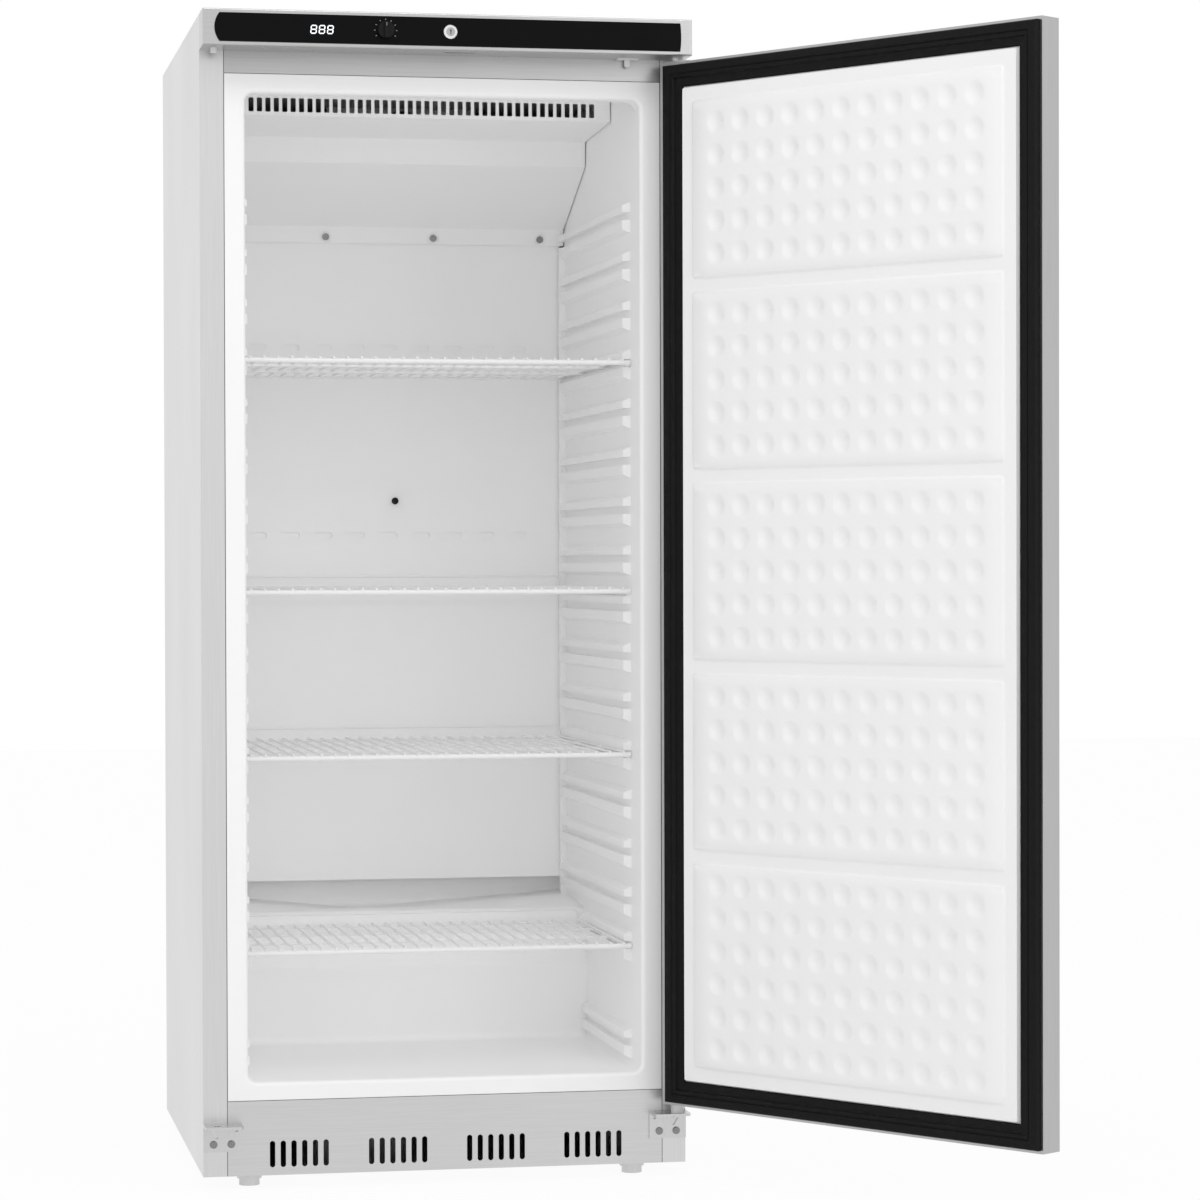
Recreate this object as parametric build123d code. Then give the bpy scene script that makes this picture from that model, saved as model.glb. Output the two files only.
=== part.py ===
"""Upright one-door catering refrigerator, in millimetres.

The frame's origin is on the floor under the middle of the cabinet: +X is to the right of someone
who faces the front, +Y goes back and +Z goes up. Depths in this file, called d, are measured back
from the plane of the cabinet's front frame, so what stands in front of that plane has a negative d.
"""

import os
from build123d import *

# Cabinet
cabinet_width = 780.0
cabinet_depth = 770.0
cabinet_height = 1860.0
floor_gap = 22.0
sheet = 1.0
wall_thickness = 72.0
stile_width = 38.0
fold_seam = 0.8
rail_bottom = 1768.0
kick_height = 141.0

# Cavity and its moulded liner
liner_wall = 3.0
breaker_seam = 1.0
opening_bottom = 170.0
opening_top = 1738.0
mouth_corner = 14.0
mouth_round = 7.0
ceiling_height = 1778.0
header_depth = 40.0
cavity_depth = 720.0
hump_front = 470.0
hump_knee_height = 300.0
hump_slope_depth = 42.0
hump_slope_top = 392.0
hump_rear_height = 405.0
hump_valley_place = -60.0
hump_valley_depth = 25.0
cavity_radius = 12.0

# Shelf ladders moulded in the side walls
ladder_pitch = 80.0
ladder_first = 440.0
ladder_steps = 15
ladder_bottom = 208.0
ladder_low = 367.0
rib_reach = 11.0
rib_taper = 5.5
slot_height = 13.0
rib_above = 16.0
rib_below = 21.0
ladder_front = 80.0
ladder_rear = 675.0
low_ladder_rear = 466.0
post_front = 667.0
post_rear = 684.0
post_bottom = 398.0

# Wire shelves
shelf_clearance = 0.2
shelf_side_gap = 2.0
shelf_front = 75.0
shelf_rear = 660.0
low_shelf_rear = 486.0
front_rod_lift = 3.0
front_wire_radius = 4.0
side_wire_radius = 3.0
cross_wire_radius = 2.5
thin_wire_radius = 2.0
wire_count = 28
wire_pitch = 22.5
front_rod_overrun = 0.5
weld_sink = 1.0
upstand_height = 26.0
upstand_inset = 10.0
upstand_bend = 9.0

# Machine bay at the lower back
bay_floor_height = 100.0
bay_front = 513.0
bay_knee_height = 290.0
bay_slope_depth = 43.0
bay_height = 352.0
base_sheet = 1.5

# Front vent slots
vent_groups = 4
vents_per_group = 6
vent_pitch = 17.1
vent_group_pitch = 158.3
vent_width = 8.5
vent_height = 42.0
vent_centre_height = 55.5

# Levelling feet
foot_inset_side = 78.0
foot_inset_end = 55.0
foot_collar_radius = 20.0
foot_collar_height = 11.0
foot_pad_radius = 16.5
foot_stud_radius = 5.0
foot_stud_length = 26.0
foot_socket_radius = 12.0
foot_socket_height = 20.0
running_fit = 0.06

# Canopy with the controls
canopy_overhang = 70.0
canopy_bottom = 1803.0
canopy_sheet = 1.2
overlay_thickness = 1.5
overlay_margin = 18.0
overlay_height = 45.0
overlay_left_bow = 8.0
overlay_right_bow = 1.5
canopy_fold = 2.0
control_height = 1831.0
display_place = -203.5
display_width = 40.0
display_height = 15.0
knob_place = -103.0
knob_radius = 13.0
knob_length = 13.0
knob_grip_width = 6.0
knob_grip_length = 8.0
spindle_radius = 3.0
lock_place = 0.0
lock_ring_radius = 11.0
lock_barrel_radius = 9.5
lock_plug_radius = 7.0
lock_ring_proud = 2.5
cam_depth = -38.0
cam_thickness = 3.0
cam_reach = 50.0
cam_width = 9.0
cam_play = 1.0
switch_place = 296.0
switch_axis_depth = -8.0
switch_axis_height = 1808.0
switch_lever_width = 11.0
switch_lever_thickness = 5.0
switch_lever_tip = 1789.5

# Door
door_side_reveal = 6.0
door_bottom = 122.0
door_top = 1793.0
door_shell = 40.0
door_lip = 14.0
hinge_inset = 20.0
hinge_pin_radius = 5.0
rest_angle = 125.0
gasket_height = 12.0
gasket_gap = 0.3
gasket_width = 36.0
gasket_crown = 22.0
gasket_low_height = 5.0
gasket_margin = 5.0
gasket_free_margin = 4.0
gasket_hinge_margin = 16.0
door_liner_sheet = 2.5
door_liner_rise = 7.0
door_liner_skin = 3.5
pillow_rise = 3.5
pillow_border = 24.0
pillow_pitch = 303.0
pillow_gap = 18.0
upper_pillows = 4
dimple_pitch = 52.0
dimple_columns = 11
dimple_rows = 5
last_dimple_rows = 6
dimple_radius = 15.0
dimple_depth = 4.0
grip_width = 46.0
grip_height = 240.0
grip_depth = 26.0
grip_wall = 2.0
grip_edge = 16.0
grip_centre_height = 1010.0
bush_radius = 8.0
bush_length = 20.0
bush_flange_radius = 11.0
bush_flange = 1.5

# Hinge hardware
bracket_sheet = 4.0
bracket_width = 60.0
bracket_bottom = 62.0
bracket_top = 107.0
bracket_reach = 48.0
bracket_screw_inset = 16.0
bracket_screw_height = 74.0
screw_radius = 3.0
screw_head_radius = 6.0
screw_head = 3.0
screw_play = 0.1
pin_plate = 4.0
pin_head_radius = 8.0
pin_head = 3.0

# Evaporator housing under the ceiling
cover_sheet = 2.0
cover_side_gap = 2.0
cover_front = 240.0
cover_fascia_bottom = 1731.0
cover_band_depth = 466.0
cover_band_top = 1722.0
cover_band_bottom = 1679.0
cover_foot_depth = 684.0
cover_foot_top = 1589.0
cover_foot_bottom = 1560.0
cover_screw_first = -303.0
cover_screw_pitch = 192.0
fascia_slots = 42
fascia_slot_pitch = 13.9
fascia_slot_width = 8.6
fascia_slot_round = 2.0
fascia_slot_bottom = 1737.0
fascia_slot_top = 1760.0

# Rear air panel
air_panel_sheet = 2.0
air_panel_gap = 9.0
air_panel_bottom = 432.0
air_panel_top = 1605.0
air_slots = 9
air_slot_pitch = 58.0
air_slot_length = 32.0
air_slot_height = 12.0
air_slot_rows = (1043.0, 1375.0)
probe_place = 12.0
probe_height = 1104.0
probe_radius = 4.0

# Evaporator, its fan and the drain
coil_width = 520.0
coil_front = 575.0
coil_depth = 100.0
coil_bottom = 1656.0
coil_height = 105.0
fin_pitch = 13.0
fin_sheet = 0.8
tube_radius = 5.0
cold_fan_depth = 505.0
cold_fan_height = 1727.0
cold_fan_radius = 44.0
cold_fan_ring = 46.0
cold_fan_plate_width = 260.0
pipe_depth = 746.0
drain_place = -200.0
drain_radius = 7.0
drain_bore = 5.0
drain_height = 1608.0
drain_end = 232.0
suction_place = 200.0
suction_radius = 4.5
suction_height = 1700.0

# Machine bay contents
compressor_place = -210.0
compressor_depth = 650.0
compressor_radius = 75.0
compressor_bottom = 38.0
compressor_top = 190.0
compressor_plate = 3.0
grommet_radius = 9.0
stub_length = 7.0
suction_stub_height = 120.0
condenser_left = 10.0
condenser_right = 340.0
condenser_front = 540.0
condenser_thickness = 60.0
condenser_bottom = 34.0
condenser_top = 300.0
warm_fan_radius = 98.0
warm_fan_ring = 102.0
warm_fan_depth = 636.0
warm_fan_height = 167.0
shroud_sheet = 2.0
tray_left = -340.0
tray_right = -80.0
tray_front = 560.0
tray_rear = 764.0
tray_height = 36.0
tray_wall = 2.0
inlet_place = -60.0
inlet_height = 64.0

front = -cabinet_depth / 2
half = cabinet_width / 2
inner_half = half - sheet
cavity_half = half - wall_thickness
liner_half = cavity_half + liner_wall
stile_inner = half - stile_width
stub_end = compressor_place + compressor_radius + stub_length
panel_front = cover_foot_depth + cover_sheet + 1
rail_top = cabinet_height - sheet
back_inner = cabinet_depth - sheet
base_top = floor_gap + base_sheet
pin_hole_radius = hinge_pin_radius + running_fit
spindle_hole_radius = spindle_radius + running_fit
barrel_hole_radius = lock_barrel_radius + running_fit


def block(x0, x1, d0, d1, z0, z1):
    """A box between two opposite corners."""
    size = Box(x1 - x0, d1 - d0, z1 - z0)
    return Pos((x0 + x1) / 2, front + (d0 + d1) / 2, (z0 + z1) / 2) * size


def upright(x, d, z0, z1, radius):
    """A cylinder that stands along Z."""
    return Pos(x, front + d, (z0 + z1) / 2) * Cylinder(radius, z1 - z0)


def lengthwise(x, d0, d1, z, radius):
    """A cylinder that lies along the depth."""
    return Pos(x, front + (d0 + d1) / 2, z) * Rot(90, 0, 0) * Cylinder(radius, d1 - d0)


def crosswise(x0, x1, d, z, radius):
    """A cylinder that lies along the width."""
    return Pos((x0 + x1) / 2, front + d, z) * Rot(0, 90, 0) * Cylinder(radius, x1 - x0)


def side_profile(outline, radius=0.0, square_ends=True):
    """The face of a side view's outline, its corners rounded except on the first and last depth."""
    points = [(front + d, z) for d, z in outline]
    face = make_face(Polyline(*points, close=True))
    if radius:
        edge = outline[0][0] + 1.0
        corners = [v for v in face.vertices() if v.X > front + edge] if square_ends else face.vertices()
        face = fillet(corners, radius)
    return face


def across(face, x0, x1):
    """A side view's face carried across the width."""
    return Pos(x0, 0, 0) * extrude(Plane.YZ * face, amount=x1 - x0)


def offset_path(points, distance):
    """An open path moved to its left by a distance, with mitred corners."""
    moved = []
    for i, (px, pz) in enumerate(points):
        normals = []
        for j, k in ((i - 1, i), (i, i + 1)):
            if j >= 0 and k < len(points):
                dx, dz = points[k][0] - points[j][0], points[k][1] - points[j][1]
                length = (dx * dx + dz * dz) ** 0.5
                normals.append((-dz / length, dx / length))
        nx = sum(n[0] for n in normals) / len(normals)
        nz = sum(n[1] for n in normals) / len(normals)
        scale = distance / (nx * nx + nz * nz)
        moved.append((px + nx * scale, pz + nz * scale))
    return moved


def bent_sheet(points, thickness, x0, x1):
    """A folded sheet whose side view follows a path, with its thickness on the path's left."""
    outline = list(points) + offset_path(points, thickness)[::-1]
    return across(side_profile(outline), x0, x1)


def mirrored(shape):
    """The same piece on the other side of the cabinet."""
    return mirror(shape, about=Plane.YZ)


def slot_across(x, d0, d1, z, width, height):
    """A hole with round ends that runs through a front sheet, longer along the larger of its sizes."""
    turn = 90 if height > width else 0
    outline = SlotOverall(max(width, height), min(width, height), rotation=turn)
    return Pos(x, front + d1, z) * Rot(90, 0, 0) * extrude(outline, amount=d1 - d0)


def pipe(points, radius, bend, bore=0.0):
    """A tube along straight runs joined by equal bends. Points are x, d and z."""
    places = [(x, front + d, z) for x, d, z in points]
    path = FilletPolyline(*places, radius=bend) if len(places) > 2 else Line(*places)
    start = Plane(origin=path @ 0, z_dir=path % 0)
    section = start * Circle(radius)
    if bore:
        section -= start * Circle(bore)
    return sweep(section, path=path)


def ladder_slots():
    """The heights of the slots that hold the shelves, from the lowest up."""
    return [ladder_bottom, ladder_low] + [ladder_first + ladder_pitch * i for i in range(ladder_steps)]


parts = {}


# The cabinet's outer sheets


def bracket_screw_places():
    """The distances from the middle of the two screws of the right-hand hinge bracket."""
    return [half - bracket_width + bracket_screw_inset, half - bracket_screw_inset]


def bracket_screw_holes():
    """The holes for both hinge brackets' screws in the cabinet's front."""
    holes = []
    for x in bracket_screw_places():
        hole = lengthwise(x, -sheet, 2 * sheet, bracket_screw_height, screw_radius + screw_play)
        holes += [hole, mirrored(hole)]
    return holes


def side_panel():
    """One side sheet, folded round the front edge to make the stile."""
    wall = block(inner_half, half, 0, cabinet_depth, floor_gap, cabinet_height)
    stile = block(stile_inner, inner_half, 0, sheet, floor_gap, cabinet_height)
    return wall + stile - bracket_screw_holes()


def top_panel():
    """The top sheet, folded down at the front to make the rail over the opening."""
    level = block(-inner_half, inner_half, sheet, cabinet_depth, rail_top, cabinet_height)
    rail_half = stile_inner - fold_seam
    return level + block(-rail_half, rail_half, 0, sheet, rail_bottom, cabinet_height)


parts["side_panel_right"] = side_panel()
parts["side_panel_left"] = mirrored(side_panel())
parts["top_panel"] = top_panel()
parts["rear_panel"] = block(-inner_half, inner_half, back_inner, cabinet_depth, bay_height, rail_top)


def vent_places():
    """The distances from the middle of the kick panel's vent slots."""
    span = vent_group_pitch * (vent_groups - 1) + vent_pitch * (vents_per_group - 1)
    groups = range(vent_groups)
    return [vent_group_pitch * g + vent_pitch * i - span / 2 for g in groups for i in range(vents_per_group)]


def kick_panel():
    """The sheet under the door, with its air slots and the holes for the hinge brackets' screws."""
    kick_half = stile_inner - fold_seam
    panel = block(-kick_half, kick_half, 0, sheet, floor_gap, kick_height)
    holes = [slot_across(x, 0, sheet, vent_centre_height, vent_width, vent_height) for x in vent_places()]
    return panel - holes - bracket_screw_holes()


parts["kick_panel"] = kick_panel()

# The machine bay's roof and the base


def bay_path():
    """The side view of the sheet under the foam, from the front, over the machine bay, to the back."""
    return [
        (sheet, bay_floor_height),
        (bay_front, bay_floor_height),
        (bay_front, bay_knee_height),
        (bay_front + bay_slope_depth, bay_height),
        (back_inner, bay_height),
    ]


def drain_path():
    """The bends of the drain tube, from behind the evaporator down to the evaporation tray."""
    return [
        (drain_place, panel_front, drain_height),
        (drain_place, pipe_depth, drain_height),
        (drain_place, pipe_depth, drain_end),
    ]


def suction_path():
    """The bends of the suction line, from the evaporator down to the compressor."""
    return [
        (suction_place, coil_front + coil_depth, suction_height),
        (suction_place, pipe_depth, suction_height),
        (suction_place, pipe_depth, suction_stub_height),
        (stub_end + 24, pipe_depth, suction_stub_height),
        (stub_end + 24, compressor_depth, suction_stub_height),
        (stub_end, compressor_depth, suction_stub_height),
    ]


def bay_roof():
    """The folded sheet that closes the foam over the air way and the machine bay."""
    roof = bent_sheet(bay_path(), sheet, -inner_half, inner_half)
    for x, radius in ((drain_place, drain_radius), (suction_place, suction_radius)):
        roof -= upright(x, pipe_depth, bay_height - sheet, bay_height + 2 * sheet, radius + screw_play)
    return roof


parts["machine_bay_roof"] = bay_roof()


def foot_places():
    """The x and d of the four levelling feet."""
    x = half - foot_inset_side
    depths = (foot_inset_end, cabinet_depth - foot_inset_end)
    return {
        "front_left": (-x, depths[0]),
        "front_right": (x, depths[0]),
        "rear_left": (-x, depths[1]),
        "rear_right": (x, depths[1]),
    }


def base_tray():
    """The bottom sheet that carries the machinery, with a threaded boss welded on it for each foot."""
    tray = block(-inner_half, inner_half, sheet, back_inner, floor_gap, base_top)
    boss_top = base_top + foot_socket_height
    for x, d in foot_places().values():
        tray += upright(x, d, floor_gap, boss_top, foot_socket_radius)
        tray -= upright(x, d, floor_gap, boss_top, foot_stud_radius + running_fit)
    return tray


def levelling_foot(x, d):
    """A foot with a wide collar, a round pad below it and a stud above it."""
    collar = upright(x, d, floor_gap - foot_collar_height, floor_gap, foot_collar_radius)
    pad = upright(x, d, 0, floor_gap - foot_collar_height, foot_pad_radius)
    stud = upright(x, d, floor_gap, floor_gap + foot_stud_length, foot_stud_radius)
    return collar + pad + stud


parts["base_tray"] = base_tray()
for name, (x, d) in foot_places().items():
    parts["foot_" + name] = levelling_foot(x, d)

# The moulded liner and the foam behind it


def cavity_path():
    """The side view of the cavity's inner face: floor, machine hump, back, ceiling and header."""
    slope_end = hump_front + hump_slope_depth
    return [
        (0, opening_bottom),
        (hump_front, opening_bottom),
        (hump_front, hump_knee_height),
        (slope_end, hump_slope_top),
        (cavity_depth, hump_rear_height - hump_valley_depth),
        (cavity_depth, ceiling_height),
        (header_depth, ceiling_height),
        (header_depth, opening_top),
        (0, opening_top),
    ]


def liner_outside():
    """The solid that the liner's outer face encloses."""
    outline = offset_path(cavity_path(), -liner_wall)
    return across(side_profile(outline, cavity_radius + liner_wall), -liner_half, liner_half)


def polyhedron(corners, sides):
    """A solid with flat sides. Corners are x, d and z; a side lists its corners' places."""
    points = [(x, front + d, z) for x, d, z in corners]
    faces = [Face(Wire.make_polygon([points[i] for i in side])) for side in sides]
    return Solid(Shell(faces))


def hump_banks():
    """The two slopes that lead water on the hump's top to the valley at its back."""
    start = hump_front + hump_slope_depth
    low = hump_rear_height - hump_valley_depth
    valley = (hump_valley_place, cavity_depth, low)
    banks = []
    for x in (-cavity_half, cavity_half):
        corners = [
            (x, start, hump_slope_top),
            (x, cavity_depth, low),
            (x, cavity_depth, hump_rear_height),
            valley,
        ]
        banks.append(polyhedron(corners, ((0, 1, 2), (0, 1, 3), (0, 2, 3), (1, 2, 3))))
    return banks


def mouth_corners():
    """The fillets of the liner along the cavity's floor and in the header's two corners."""
    r = mouth_corner
    pieces = []
    for z0, z1, centre, depth in (
        (opening_bottom, opening_bottom + r, opening_bottom + r, hump_front),
        (opening_top - r, opening_top, opening_top - r, header_depth),
    ):
        corner = block(cavity_half - r, cavity_half, 0, depth, z0, z1)
        corner -= lengthwise(cavity_half - r, 0, depth, centre, r)
        pieces += [corner, mirrored(corner)]
    return pieces


def shelf_rib(slot_edge, wall_edge, rear):
    """One moulded rib of the right-hand wall, from its slot out to its slanting other side."""
    face_x = cavity_half - rib_reach
    taper = rib_taper if wall_edge < slot_edge else -rib_taper
    plan = [
        (cavity_half, front + ladder_front),
        (face_x, front + ladder_front + rib_reach),
        (face_x, front + rear),
        (cavity_half, front + rear),
    ]
    side = [
        (cavity_half, wall_edge),
        (face_x, wall_edge + taper),
        (face_x, slot_edge),
        (cavity_half, slot_edge),
    ]
    low, high = sorted((slot_edge, wall_edge))
    bar = Pos(0, 0, low) * extrude(make_face(Polyline(*plan, close=True)), amount=high - low)
    section = Plane.XZ * make_face(Polyline(*side, close=True))
    return bar & (Pos(0, front + rear, 0) * extrude(section, amount=rear - ladder_front))


def shelf_ribs():
    """All ribs of the right-hand wall, one below and one above each slot, and the post behind them."""
    ribs = []
    for z in ladder_slots():
        rear = ladder_rear if z > hump_rear_height else low_ladder_rear
        ribs.append(shelf_rib(z - slot_height / 2, z - slot_height / 2 - rib_below, rear))
        ribs.append(shelf_rib(z + slot_height / 2, z + slot_height / 2 + rib_above, rear))
    face_x = cavity_half - rib_reach
    post = [
        (cavity_half, front + post_front),
        (face_x, front + post_front + rib_reach / 4),
        (face_x, front + post_rear),
        (cavity_half, front + post_rear),
    ]
    height = cover_foot_bottom - 4 - post_bottom
    ribs.append(Pos(0, 0, post_bottom) * extrude(make_face(Polyline(*post, close=True)), amount=height))
    return ribs


def is_in_mouth(point):
    """Whether a point of the front plane lies on the cavity's mouth and not on the frame's outside."""
    return abs(point.X) < cavity_half + 1 and opening_bottom - 1 < point.Z < opening_top + 1


def inner_liner():
    """The white moulded shell of the cavity with its front frame and shelf ladders."""
    cavity = across(side_profile(cavity_path(), cavity_radius), -cavity_half, cavity_half)
    edge = stile_inner - breaker_seam
    frame = block(-edge, edge, 0, liner_wall, kick_height, rail_bottom)
    outside = liner_outside()
    shell = outside + frame - cavity
    shell = shell.fuse(*[corner & outside for corner in mouth_corners()])
    mouth = [edge for edge in shell.edges().group_by(Axis.Y)[0] if is_in_mouth(edge.center())]
    shell = fillet(mouth, mouth_round).fuse(*[bank & outside for bank in hump_banks()])
    ribs = shelf_ribs()
    shell = shell.fuse(*ribs, *[mirrored(rib) for rib in ribs])
    for x, z, radius in (
        (drain_place, drain_height, drain_radius),
        (suction_place, suction_height, suction_radius),
    ):
        shell -= lengthwise(x, cavity_depth - 1, cavity_depth + liner_wall + 1, z, radius + screw_play)
    return shell


def cabinet_foam():
    """The insulation that fills the walls between the liner and the outer sheets."""
    under = offset_path(bay_path(), sheet)
    outline = under + [(back_inner, rail_top), (sheet, rail_top)]
    foam = across(side_profile(outline), -inner_half, inner_half)
    foam -= liner_outside()
    foam -= block(-stile_inner, stile_inner, 0, liner_wall, kick_height, rail_bottom)
    foam -= pipe(drain_path(), drain_radius + screw_play, drain_radius * 2)
    return foam - pipe(suction_path()[:3], suction_radius + screw_play, suction_radius * 3)


parts["inner_liner"] = inner_liner()
parts["cabinet_foam"] = cabinet_foam()

# The canopy over the door, which holds the controls

canopy_front = -canopy_overhang
overlay_face = canopy_front - overlay_thickness
pin_depth = -(gasket_height + door_shell / 2)
pin_place = half - hinge_inset


def display_block(d0, d1, margin):
    """The display's rectangle with a margin all round, between two depths."""
    w, h = display_width / 2 + margin, display_height / 2 + margin
    return block(display_place - w, display_place + w, d0, d1, control_height - h, control_height + h)


def canopy():
    """The folded box over the door, open at the back."""
    shell = block(-half, half, canopy_front, 0, canopy_bottom, cabinet_height)
    shell = fillet(shell.edges().group_by(Axis.Y)[0], canopy_fold)
    s = canopy_sheet
    shell -= block(-half + s, half - s, canopy_front + s, 0, canopy_bottom + s, cabinet_height - s)
    for x in (-pin_place, pin_place):
        shell -= upright(x, pin_depth, canopy_bottom - 1, canopy_bottom + 2 * s, pin_hole_radius)
    through = (canopy_front - 1, canopy_front + 2 * s)
    shell -= lengthwise(knob_place, *through, control_height, spindle_hole_radius)
    shell -= lengthwise(lock_place, *through, control_height, barrel_hole_radius)
    shell -= display_block(*through, screw_play)
    shell -= cam_slot(canopy_bottom - 1, canopy_bottom + 2 * s)
    return shell - switch_block(
        switch_lever_width + 2 * screw_play, switch_front, 0, canopy_bottom - 1, canopy_bottom + 2 * s
    )


def cam_slot(z0, z1):
    """The room that the lock's cam needs where it turns down through a level sheet."""
    drop = control_height - z1
    reach = (cam_reach**2 - drop**2) ** 0.5 + cam_play
    side = cam_width / 2 + cam_play
    d0, d1 = cam_depth - cam_play, cam_depth + cam_thickness + cam_play
    return block(lock_place - side, lock_place + reach, d0, d1, z0, z1)


def control_overlay():
    """The black strip on the canopy, with a bowed left end and an almost straight right one."""
    x = half - overlay_margin
    z0, z1 = control_height - overlay_height / 2, control_height + overlay_height / 2
    x0, x1 = overlay_left_bow - x, x - overlay_right_bow
    right = ThreePointArc((x1, z0), (x, control_height), (x1, z1))
    left = ThreePointArc((x0, z1), (-x, control_height), (x0, z0))
    outline = Line((x0, z0), (x1, z0)) + right + Line((x1, z1), (x0, z1)) + left
    strip = Rot(90, 0, 0) * extrude(make_face(outline), amount=overlay_thickness)
    strip = Pos(0, front + canopy_front, 0) * strip
    through = (overlay_face - 1, canopy_front + 1)
    strip -= lengthwise(knob_place, *through, control_height, spindle_hole_radius)
    strip -= lengthwise(lock_place, *through, control_height, barrel_hole_radius)
    return strip - display_block(*through, screw_play)


def display_module():
    """The temperature display: its window in the strip and its board behind the canopy's front."""
    inside = canopy_front + canopy_sheet
    return display_block(overlay_face, inside, 0) + display_block(inside, inside + 14, 5)


def thermostat_knob():
    """The round knob with a raised grip and the spindle behind it."""
    face = overlay_face - 0.5
    tip = face - knob_length + knob_grip_length / 2
    disc = lengthwise(knob_place, tip, face, control_height, knob_radius)
    disc = chamfer(disc.edges().sort_by(Axis.Y)[0], 1.0)
    w, r = knob_grip_width / 2, knob_radius - 1
    low, high = control_height - r, control_height + r
    grip = block(knob_place - w, knob_place + w, face - knob_length, tip, low, high)
    spindle = lengthwise(knob_place, face, canopy_front + canopy_sheet + 12, control_height, spindle_radius)
    return disc + grip + spindle


def thermostat_body():
    """The thermostat behind the canopy's front, bored for the knob's spindle."""
    inside = canopy_front + canopy_sheet
    low, high = control_height - 18, control_height + 18
    body = block(knob_place - 20, knob_place + 20, inside, inside + 32, low, high)
    return body - lengthwise(knob_place, inside, inside + 14, control_height, spindle_hole_radius)


def lock_barrel():
    """The lock's fixed sleeve with its ring on the strip."""
    face = overlay_face - lock_ring_proud
    ring = lengthwise(lock_place, face, overlay_face, control_height, lock_ring_radius)
    ring = chamfer(ring.edges().sort_by(Axis.Y)[0], 1.0)
    sleeve = lengthwise(lock_place, overlay_face, cam_depth - cam_play, control_height, lock_barrel_radius)
    bore = lock_plug_radius + running_fit
    return ring + sleeve - lengthwise(lock_place, overlay_face - 5, cam_depth, control_height, bore)


def lock_plug():
    """The key plug, turned by the key."""
    plug = lengthwise(lock_place, overlay_face - lock_ring_proud, cam_depth, control_height, lock_plug_radius)
    face = overlay_face - lock_ring_proud
    keyway = block(lock_place - 0.8, lock_place + 0.8, face, face + 8, control_height - 4, control_height + 3)
    return plug - keyway - lengthwise(lock_place, face, face + 8, control_height + 2, 1.6)


def lock_cam():
    """The tongue on the plug's back end, level when unlocked; a quarter turn drops it into the door."""
    w = cam_width / 2
    boss = lengthwise(lock_place, cam_depth, cam_depth + cam_thickness, control_height, lock_plug_radius)
    reach = (cam_reach**2 - w**2) ** 0.5
    low, high = control_height - w, control_height + w
    return boss + block(lock_place, lock_place + reach, cam_depth, cam_depth + cam_thickness, low, high)


switch_front = switch_axis_depth - 2 * switch_lever_thickness
switch_rear = switch_axis_depth + 1.4 * switch_lever_thickness
switch_sheet_top = canopy_bottom + canopy_sheet


def switch_block(width, d0, d1, z0, z1):
    """A box about the door switch's middle."""
    return block(switch_place - width / 2, switch_place + width / 2, d0, d1, z0, z1)


def door_switch_housing():
    """The white plate under the canopy with the switch's body above it, slotted for the lever."""
    plate = switch_block(34, switch_front - 3, switch_rear, canopy_bottom - 1.5, canopy_bottom)
    body = switch_block(26, switch_front, switch_rear, switch_sheet_top, switch_axis_height + 14)
    neck = switch_block(
        switch_lever_width, switch_front + screw_play, switch_rear, canopy_bottom, switch_sheet_top
    )
    room_front = switch_axis_depth - switch_lever_thickness
    room_width = switch_lever_width - 1.6
    room = switch_block(room_width, room_front, switch_rear, canopy_bottom - 2, switch_axis_height + 6)
    reach = switch_lever_width
    axle_hole = 1.5 + running_fit
    axle = crosswise(
        switch_place - reach, switch_place + reach, switch_axis_depth, switch_axis_height, axle_hole
    )
    return plate + body + neck - room - axle


def door_switch_lever():
    """The tab that hangs over the door's top edge and tips back on its own small axle."""
    width = switch_lever_width - 2.4
    t = switch_lever_thickness / 2
    tab = switch_block(
        width, switch_axis_depth - t, switch_axis_depth + t, switch_lever_tip, switch_axis_height + 3
    )
    tab = fillet(tab.edges().filter_by(Axis.Y).sort_by(Axis.Z)[:2], width / 2 - 0.5)
    reach = switch_lever_width - 1
    axle = crosswise(
        switch_place - reach, switch_place + reach, switch_axis_depth, switch_axis_height, 1.5
    )
    return tab + axle


parts["canopy"] = canopy()
parts["control_overlay"] = control_overlay()
parts["display_module"] = display_module()
parts["thermostat_knob"] = thermostat_knob()
parts["thermostat_body"] = thermostat_body()
parts["lock_barrel"] = lock_barrel()
parts["lock_plug"] = lock_plug()
parts["lock_cam"] = lock_cam()
parts["door_switch_housing"] = door_switch_housing()
parts["door_switch_lever"] = door_switch_lever()

# The hinges


def upper_hinge_plate():
    """The steel angle inside the canopy that holds one upper pin."""
    z = canopy_bottom + canopy_sheet
    level = block(pin_place - 16, pin_place + 16, -bracket_reach, 0, z, z + pin_plate)
    leg = block(pin_place - 16, pin_place + 16, -pin_plate, 0, z, z + 40)
    return level + leg - upright(pin_place, pin_depth, z - 1, z + pin_plate + 1, pin_hole_radius)


def upper_pin(rest, bottom):
    """A pin with a head that lies on a level sheet and a shank that hangs through it."""
    head = upright(pin_place, pin_depth, rest, rest + pin_head, pin_head_radius)
    return head + upright(pin_place, pin_depth, bottom, rest, hinge_pin_radius)


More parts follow.
